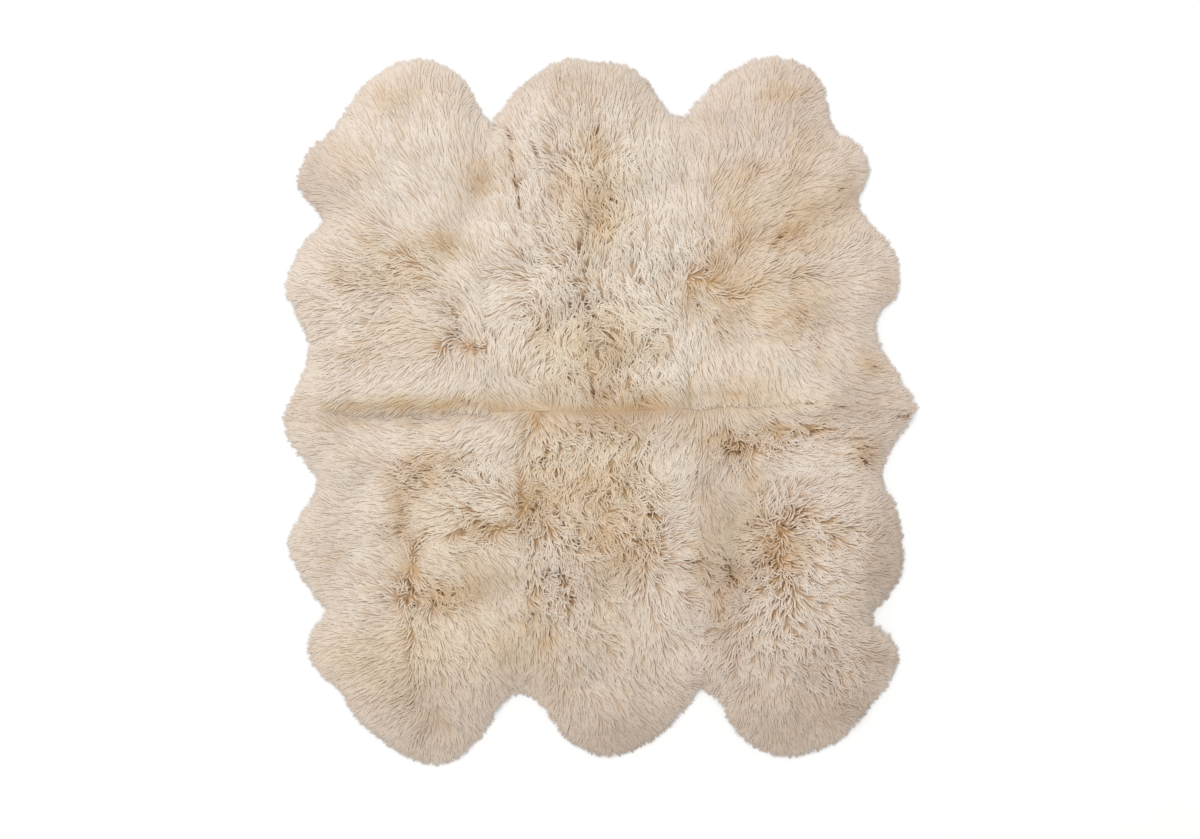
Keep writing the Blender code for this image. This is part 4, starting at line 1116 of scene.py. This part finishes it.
# %% The whole tree
def lock_tree():
    """Geometry nodes that grow locks of wool on a ground."""
    tree = bpy.data.node_groups.new("locks_of_wool", "GeometryNodeTree")
    sockets = {"Ground": "Geometry", "Cover": "Object", "Partings": "Object", "Wool": "Material",
               "Seed": "Int"}
    for name, kind in sockets.items():
        tree.interface.new_socket(name, in_out="INPUT", socket_type="NodeSocket" + kind)
    for name, value in [(n, v * MM) for n, v in LOCK_SIZES.items()] + list(LOCK_SHARES.items()):
        made = tree.interface.new_socket(name, in_out="INPUT", socket_type="NodeSocketFloat")
        made.default_value = value
    tree.interface.new_socket("Fleece", in_out="OUTPUT", socket_type="NodeSocketGeometry")
    given = tree.nodes.new("NodeGroupInput").outputs
    out = tree.nodes.new("NodeGroupOutput")

    # A curve on each root, bent by its place
    strand = add(tree, "GeometryNodeCurvePrimitiveLine")
    strands = add(tree, "GeometryNodeInstanceOnPoints",
                  {"Points": rooted(tree, given), "Instance": strand})
    strands = add(tree, "GeometryNodeRealizeInstances", {"Geometry": strands})
    curl = add(tree, LOOK_UP, {"Name": "curl"}, data_type="FLOAT")
    more = add(tree, MATH, {0: curl, 1: CURLED}, operation="GREATER_THAN")
    count = add(tree, MATH, {0: more, 1: float(CURLED_POINTS - LOCK_POINTS),
                             2: float(LOCK_POINTS)}, operation="MULTIPLY_ADD")
    strands = add(tree, "GeometryNodeResampleCurve", {"Curve": strands, "Count": count})
    t = add(tree, "GeometryNodeSplineParameter")
    chance, staple_chance = (
        add(tree, "ShaderNodeSeparateXYZ",
            {0: add(tree, LOOK_UP, {"Name": name}, data_type="FLOAT_VECTOR")}).node.outputs
        for name in ("chance", "staple_chance"))
    seen = seen_from_above(tree, given, t, curl, chance, staple_chance)
    seen, parting = parted(tree, given, seen, given["Parting Reach"])
    place, thickness = laid(tree, given, seen, t, curl, chance, staple_chance)
    for name, value in (("along", t), ("parting", parting), ("thickness", thickness)):
        strands = add(tree, STORE, {"Geometry": strands, "Name": name, "Value": value},
                      data_type="FLOAT")
    strands = add(tree, "GeometryNodeSetPosition", {"Geometry": strands, "Position": place})

    # Its thickness, ridge side up, and a single point at the tip
    strands = add(tree, "GeometryNodeSetCurveNormal", {"Curve": strands}, mode="Z_UP")
    profile = add(tree, "GeometryNodeCurvePrimitiveCircle",
                  {"Resolution": LOCK_SIDES, "Radius": 1.0})
    profile = add(tree, "GeometryNodeTransform",
                  {"Geometry": profile, "Rotation": (0, 0, PROFILE_TURN)})
    squeeze = add(tree, "ShaderNodeCombineXYZ", {0: 1.0, 1: given["Flatness"], 2: 1.0})
    profile = add(tree, "GeometryNodeTransform", {"Geometry": profile, "Scale": squeeze})
    thickness = add(tree, LOOK_UP, {"Name": "thickness"}, data_type="FLOAT")
    locks = add(tree, "GeometryNodeCurveToMesh",
                {"Curve": strands, "Profile Curve": profile, "Scale": thickness,
                 "Fill Caps": True})
    along = add(tree, LOOK_UP, {"Name": "along"}, data_type="FLOAT")
    at_tip = add(tree, "FunctionNodeCompare", {0: along, 1: TIP_FROM}, data_type="FLOAT",
                 operation="GREATER_THAN")
    locks = add(tree, "GeometryNodeMergeByDistance",
                {"Geometry": locks, "Selection": at_tip, "Distance": SAME_POINT})
    locks = add(tree, "GeometryNodeSetShadeSmooth", {"Geometry": locks, "Shade Smooth": False})

    # The ground sinks in partings too
    spot = add(tree, "GeometryNodeInputPosition")
    level = add(tree, VECTOR, {0: spot, 1: LEVEL}, operation="MULTIPLY")
    reach = add(tree, MATH, {0: given["Parting Reach"], 1: GROUND_PARTING_SHARE},
                operation="MULTIPLY")
    _, parting = parted(tree, given, level, reach)
    sunk = add(tree, MATH, {0: parting, 1: given["Parting Depth"]}, operation="MULTIPLY")
    height = add(tree, "ShaderNodeSeparateXYZ", {0: spot}).node.outputs[2]
    height = add(tree, MATH, {0: height, 1: sunk}, operation="SUBTRACT")
    upper = add(tree, MATH, {0: height, 1: LOWEST_GROUND * MM}, operation="MAXIMUM")
    spot = add(tree, VECTOR, {"Vector": UP, "Scale": upper}, operation="SCALE")
    spot = add(tree, VECTOR, {0: level, 1: spot}, operation="ADD")
    top = add(tree, LOOK_UP, {"Name": "top"}, data_type="BOOLEAN")
    ground = add(tree, "GeometryNodeSetPosition",
                 {"Geometry": given["Ground"], "Selection": top, "Position": spot})
    ground = add(tree, STORE, {"Geometry": ground, "Name": "parting", "Value": parting},
                 data_type="FLOAT")
    both = tree.nodes.new("GeometryNodeJoinGeometry")
    for part in (locks, ground):
        tree.links.new(part, both.inputs[0])
    whole = add(tree, "GeometryNodeRealizeInstances", {"Geometry": both.outputs[0]})
    whole = add(tree, "GeometryNodeSetMaterial", {"Geometry": whole, "Material": given["Wool"]})
    tree.links.new(whole, out.inputs[0])
    return tree


locks_of_wool = lock_tree()
print("nodes in the tree:", len(locks_of_wool.nodes))

# %% [markdown]
# ## Wool
#
# The fibre itself is matt and pale, with a faint sheen, since light grazes along fine scaly
# hairs. Its colour runs from tan at the root to bleached cream at the tip, differs a little
# from lock to lock, and takes the stains. Shade and light are painted into it too: greyer
# patches, a greyer rim with darker outermost tips, and browner partings are partly or wholly
# painted shade, and paler patches are partly painted light. The colour could be painted on a
# picture, or mixed from what each lock knows of itself. The second way is used, as layers of
# colour one over the other, each with a share that says where it shows. Finer than a lock, single
# hairs gather in strands about a millimetre wide, which are drawn along each lock as streaks in
# colour and bump.

# %% Colours and sizes of the wool's finish
WOOL_SURFACE = {"Roughness": 0.85, "Specular IOR Level": 0.25, "Sheen Weight": 0.35,
                "Sheen Roughness": 0.45, "Sheen Tint": linear("FFF4E2")}
# Among the wool's own colours, the greyer patch colour, the rim's and the edge's are painted shade,
# the parting's is brown wool with painted shade, and the pale one is partly painted light
WOOL_COLOURS = {
    "root": "DCC8B2", "felted root": "B08350", "body": "E6D9CB", "tip": "F0E7DE",
    "pale": "F6EFE1", "gold": "E6CFA0", "rose": "DCC5B7", "tan": "C8A474", "shade": "B09A87",
    "mottle": "D8BF98", "rim": "D9C8B9", "edge": "7F6B5B", "parting": "8F6540",
    "streak": "C0A27C"}
Fade = namedtuple("Fade", "low high at_low at_high")
FADES = {                                       # a share, as a value goes from low to high
    "felted": Fade(0.0, 0.6, 0.0, 1.0),         # by curl
    "full body": Fade(0.0, 1.0, 0.6, 0.9),      # by curl, the place where the body is full
    "tip": Fade(0.45, 1.0, 0.0, 1.0),           # by the place along a lock
    "tip luck": Fade(-1.0, 1.0, 0.5, 0.9),      # by a lock's own chance
    "reached": Fade(0.0, 1.0, 0.5, 1.0),        # by the share of the body
    "tan cloud": Fade(0.35, 0.65, 0.5, 1.2),    # by the mottle
    "tan luck": Fade(-1.0, 1.0, 0.7, 1.0),      # by a lock's own chance
    "mottle": Fade(0.45, 0.75, 0.0, 0.18),      # the same
    "rim": Fade(0.0, 110 * MM, 0.60, 0.0),      # by the distance from the outline, for the painted shade at the rim
    "edge": Fade(10 * MM, 60 * MM, 1.0, 0.0),   # by that, painted shade where tips turn down to the floor
    "inside": Fade(0.35, 0.8, 0.9, 0.15),       # by the place along a lock
    "parting": Fade(0.2, 0.75, 0.0, 1.0),       # by how deep it is in a parting, for its brown wool and painted shade
    "streak": Fade(0.35, 0.75, 0.0, 0.10),      # by the noise along a lock
}
BODY_FROM = 0.10                # of a lock's length, where its root's colour begins to end
MOST = {"pale": 0.6, "gold": 0.5, "rose": 0.5, "tan": 0.95, "shade": 0.8}      # share of a stain, of paler wool and painted light, or of painted shade
LEAST_EDGE_SHADE = 0.2                # of the edge's painted shade, where there is no patch of painted shade
MOTTLE_SIZE = 70.0              # mm
STRANDS_PER_LOCK = (3.0, 1.2)   # across a lock's side, some 5 mm wide, and along it
STRAND_BUMP = 0.3               # mm
BUMP_STRENGTH = 0.6
MIX = "ShaderNodeMix"
print("layers of colour:", list(WOOL_COLOURS))


# %% Combed wool
def combed_wool():
    """Undyed sheep's wool, washed and combed: matt, with a faint sheen."""
    material = bpy.data.materials.new("combed_sheep_wool")
    material.use_nodes = True
    tree = material.node_tree
    surface = tree.nodes["Principled BSDF"]
    for socket, value in WOOL_SURFACE.items():
        surface.inputs[socket].default_value = value

    along, curl, parting, rim, tan, gold, rose, pale, shade = (
        add(tree, "ShaderNodeAttribute", attribute_name=name).node.outputs["Fac"]
        for name in ("along", "curl", "parting", "rim", "tan", "gold", "rose", "pale", "shade"))
    chance = add(tree, "ShaderNodeAttribute", attribute_name="chance").node.outputs["Vector"]
    chance = add(tree, "ShaderNodeSeparateXYZ", {0: chance}).node.outputs
    place = add(tree, "ShaderNodeTexCoord").node.outputs["Object"]
    mottle = add(tree, "ShaderNodeTexNoise", {"Vector": place, "Scale": 1 / (MOTTLE_SIZE * MM),
                                              "Detail": 3.0})
    strand = add(tree, "ShaderNodeUVMap", uv_map="strand")
    strand = add(tree, VECTOR, {0: strand, 1: (*STRANDS_PER_LOCK, 1.0)}, operation="MULTIPLY")
    streak = add(tree, "ShaderNodeTexNoise", {"Vector": strand, "Scale": 1.0, "Detail": 2.0})

    # From the root to the bleached tip. A fade's numbers go to the sockets after the value
    felted = add(tree, RANGE, enumerate((curl, *FADES["felted"])))
    full = add(tree, RANGE, enumerate((curl, *FADES["full body"])))
    inner = add(tree, RANGE, {0: along, 1: BODY_FROM, 2: full})
    outer = add(tree, RANGE, enumerate((along, *FADES["tip"])))
    luck = add(tree, RANGE, enumerate((chance[0], *FADES["tip luck"])))
    outer = add(tree, MATH, {0: outer, 1: luck}, operation="MULTIPLY")
    layers = [("felted root", felted), ("body", inner), ("tip", outer)]

    # Paler patches, partly bleached wool and partly painted light, and golden and rosy patches
    # colour the hollows less than what the light reaches
    reached = add(tree, RANGE, enumerate((inner, *FADES["reached"])))
    for name, field in (("pale", pale), ("gold", gold), ("rose", rose)):
        share = add(tree, MATH, {0: field, 1: MOST[name]}, operation="MULTIPLY")
        share = add(tree, MATH, {0: share, 1: reached}, operation="MULTIPLY")
        layers.append((name, share))

    # Tan shows in clouds, more in some locks than in others, and the greyer patches of painted shade
    # lie over it
    cloud = add(tree, RANGE, enumerate((mottle, *FADES["tan cloud"])))
    luck = add(tree, RANGE, enumerate((chance[1], *FADES["tan luck"])))
    cloud = add(tree, MATH, {0: cloud, 1: luck}, operation="MULTIPLY")
    cloud = add(tree, MATH, {0: cloud, 1: tan}, operation="MULTIPLY")
    cloud = add(tree, MATH, {0: cloud, 1: MOST["tan"]}, operation="MINIMUM")
    painted_shade_share = add(tree, MATH, {0: shade, 1: MOST["shade"]}, operation="MULTIPLY")
    mottled = add(tree, RANGE, enumerate((mottle, *FADES["mottle"])))
    layers += [("tan", cloud), ("shade", painted_shade_share), ("mottle", mottled)]

    # Painted shade at the rim: it is greyer, and its outermost tips, which turn down to the floor
    # away from the light, are darker still, most of all under the patches of painted shade
    rim_shade = add(tree, RANGE, enumerate((rim, *FADES["rim"])))
    edge = add(tree, RANGE, enumerate((rim, *FADES["edge"])))
    edge = add(tree, MATH, {0: edge, 1: outer}, operation="MULTIPLY")
    most = add(tree, MATH, {0: shade, 1: LEAST_EDGE_SHADE}, operation="ADD")
    edge = add(tree, MATH, {0: edge, 1: most}, operation="MULTIPLY")
    layers += [("rim", rim_shade), ("edge", edge)]

    # A parting is browner, more so towards the roots, as deep tan wool with the painted shade of the
    # crevice over it, and single strands differ
    inside = add(tree, RANGE, enumerate((along, *FADES["inside"])))
    parting_brown_and_shade = add(tree, RANGE, enumerate((parting, *FADES["parting"])))
    parting_brown_and_shade = add(tree, MATH, {0: parting_brown_and_shade, 1: inside}, operation="MULTIPLY")
    line = add(tree, RANGE, enumerate((streak, *FADES["streak"])))
    layers += [("parting", parting_brown_and_shade), ("streak", line)]

    colour = linear(WOOL_COLOURS["root"])
    for name, share in layers:
        colour = add(tree, MIX, {"Factor": share, "A": colour, "B": linear(WOOL_COLOURS[name])},
                     data_type="RGBA")
    tree.links.new(colour, surface.inputs["Base Color"])
    bump = add(tree, "ShaderNodeBump", {"Height": streak, "Distance": STRAND_BUMP * MM,
                                        "Strength": BUMP_STRENGTH})
    tree.links.new(bump, surface.inputs["Normal"])
    return material


wool = combed_wool()
print("wool nodes:", len(wool.node_tree.nodes))

# %% [markdown]
# ## Growing the fleeces
#
# Each ground now gets the tree as a modifier. Its inputs are set by identifier before the
# object is first evaluated, the result is taken as a plain mesh, and the modifier goes. Two UV
# maps are laid on it. One runs along and across every lock, for the strands. The other gives
# each lock a tile of its own in a square picture, which suits a baked texture far better than
# any general unwrapping of thousands of small locks.

# %% UV maps for locks
TILE_EDGE = 0.06                # of a tile, left empty all round
GROUND_BAND = 0.08              # of the picture's height, kept for the ground
GROUND_FILL = 0.95              # of that band
LOCK_SHIFT = (0.37, 0.61)       # from one lock to the next, so that no two have the same strands
FELT_SIZE = 0.006               # metres of ground that show as much pattern as one lock


def read(items, field, kind, width=1):
    """A field of all the vertices, corners, faces or values of a mesh."""
    values = np.empty(len(items) * width, kind)
    items.foreach_get(field, values)
    return values


def lay_uvs(mesh):
    """Adds the maps strand and OFBake to a fleece."""
    vert = read(mesh.loops, "vertex_index", np.int32)
    place = read(mesh.vertices, "co", float, 3).reshape(-1, 3)[vert]
    along = read(mesh.attributes["along"].data, "value", float)[vert]
    lock = read(mesh.attributes["lock"].data, "value", np.int32)[vert]
    start = read(mesh.polygons, "loop_start", np.int32)
    total = read(mesh.polygons, "loop_total", np.int32)

    # Across a face of a lock, one side is 0, the other 1, and a corner between them a half
    first, size = np.repeat(start, total), np.repeat(total, total)
    step = np.arange(len(vert)) - first
    ahead, behind = first + (step + 1) % size, first + (step - 1) % size
    rises, came_up = along[ahead] > along, along > along[behind]
    falls, came_down = along[ahead] < along, along < along[behind]
    u = np.where(falls | came_down, 1.0, 0.0)
    u = np.where((rises | came_up) & (falls | came_down), 0.5, u)

    # Each lock has its tile in the picture, and the ground has a band below them
    grown = lock >= 0
    across = int(math.ceil(math.sqrt(lock.max() + 1)))
    tile = np.stack([lock % across, lock // across], axis=1)
    spot = np.stack([u, along], axis=1) * (1 - 2 * TILE_EDGE) + TILE_EDGE
    picture = (tile + spot) / across * (1, 1 - GROUND_BAND) + (0, GROUND_BAND)
    low, high = place.min(axis=0)[:2], place.max(axis=0)[:2]
    flat = (place[:, :2] - low) / (high - low) * (1, GROUND_BAND * GROUND_FILL)
    picture = np.where(grown[:, None], picture, flat)

    # The strands are shifted from lock to lock
    strand = np.stack([u, along], axis=1) + np.outer(lock, LOCK_SHIFT)
    strand = np.where(grown[:, None], strand, place[:, :2] / FELT_SIZE)
    for name, values in (("strand", strand), ("OFBake", picture)):
        layer = mesh.uv_layers.new(name=name)
        layer.uv.foreach_set("vector", values.ravel())


# %% Growing them
def grow(ground, seed):
    """The ground with its locks as a plain mesh."""
    grower = ground.modifiers.new("locks", "NODES")
    grower.node_group = locks_of_wool
    named = {socket.name: socket.identifier for socket in locks_of_wool.interface.items_tree
             if socket.in_out == "INPUT"}
    grower[named["Cover"]] = cover
    grower[named["Partings"]] = partings
    grower[named["Wool"]] = wool
    grower[named["Seed"]] = seed
    seen = ground.evaluated_get(bpy.context.evaluated_depsgraph_get())
    mesh = bpy.data.meshes.new_from_object(seen)
    ground.modifiers.remove(grower)
    old, ground.data = ground.data, mesh
    bpy.data.meshes.remove(old)
    mesh.name = ground.name
    lay_uvs(mesh)
    return ground


fleeces = {}
for number, name in enumerate(PELTS):
    fleeces[name] = grow(grounds[name], number + 1)
    mesh = fleeces[name].data
    triangles = sum(len(face.vertices) - 2 for face in mesh.polygons)
    locks = int(max(item.value for item in mesh.attributes["lock"].data)) + 1
    print(name, "locks:", locks, "triangles:", triangles)
for helper in (cover, partings):
    bpy.data.objects.remove(helper, do_unlink=True)

# %% [markdown]
# ## Hides
#
# Under the wool is the tanned skin, one and a half millimetres of soft suede with its flesh
# side down. It stops short of the free rim, since the wool falls over its cut edge, and meets
# its neighbours at the seams. A flat outline given a thickness would do, and the same slab that
# made the ground of the wool makes it here, with a level top.

# %% Suede hide
HIDE_INSET = 16.0               # mm, of the cut edge from the ring at the free rim
HIDE_PITCH = 30.0               # mm between the points of its upper side
NAP_SIZE = 1.5                  # mm, coarser than real so that it shows
NAP_HEIGHT = 0.2                # mm
CLOUDS_PER_METRE = 12.0         # of its uneven colour


def suede():
    """Tanned sheepskin, the flesh side sueded: quite matt, with a soft uneven colour."""
    material = bpy.data.materials.new("sueded_sheepskin")
    material.use_nodes = True
    tree = material.node_tree
    surface = tree.nodes["Principled BSDF"]
    surface.inputs["Roughness"].default_value = 0.9
    surface.inputs["Sheen Weight"].default_value = 0.3
    place = add(tree, "ShaderNodeTexCoord").node.outputs["Object"]
    clouds = add(tree, "ShaderNodeTexNoise", {"Vector": place, "Scale": CLOUDS_PER_METRE,
                                              "Detail": 4.0})
    nap = add(tree, "ShaderNodeTexNoise", {"Vector": place, "Scale": 1 / (NAP_SIZE * MM),
                                           "Detail": 2.0})
    colour = add(tree, MIX, {"Factor": clouds, "A": linear("DDD0BA"), "B": linear("C9B998")},
                 data_type="RGBA")
    tree.links.new(colour, surface.inputs["Base Color"])
    bump = add(tree, "ShaderNodeBump", {"Height": nap, "Distance": NAP_HEIGHT * MM,
                                        "Strength": BUMP_STRENGTH})
    tree.links.new(bump, surface.inputs["Normal"])
    return material


def hide_of(name, finish):
    """A pelt's hide, its flat width and length, and its area, in metres."""
    ring = rings[name]
    edge = drawn_in(ring.points, np.where(ring.free, HIDE_INSET, 0.0))
    mesh, _ = slab(name + "_hide", edge, spread_points(edge, HIDE_PITCH), 0.0,
                   lambda at: np.full(len(at), HIDE_THICKNESS))
    mesh.materials.append(finish)
    made = bpy.data.objects.new(name + "_hide", mesh)
    bpy.context.scene.collection.objects.link(made)
    x, y = edge[:, 0] * MM, edge[:, 1] * MM
    area = abs(np.dot(x, np.roll(y, -1)) - np.dot(y, np.roll(x, -1))) / 2
    return made, (float(np.ptp(x)), float(np.ptp(y))), float(area)


finish = suede()
for name in PELTS:
    hide, flat, area = hide_of(name, finish)
    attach(fleeces[name], "root")
    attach(hide, "root")
    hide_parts(name)
    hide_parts(name)
    print(name, "hide, m:", [round(side, 3) for side in flat], "area, m2:", round(area, 3))
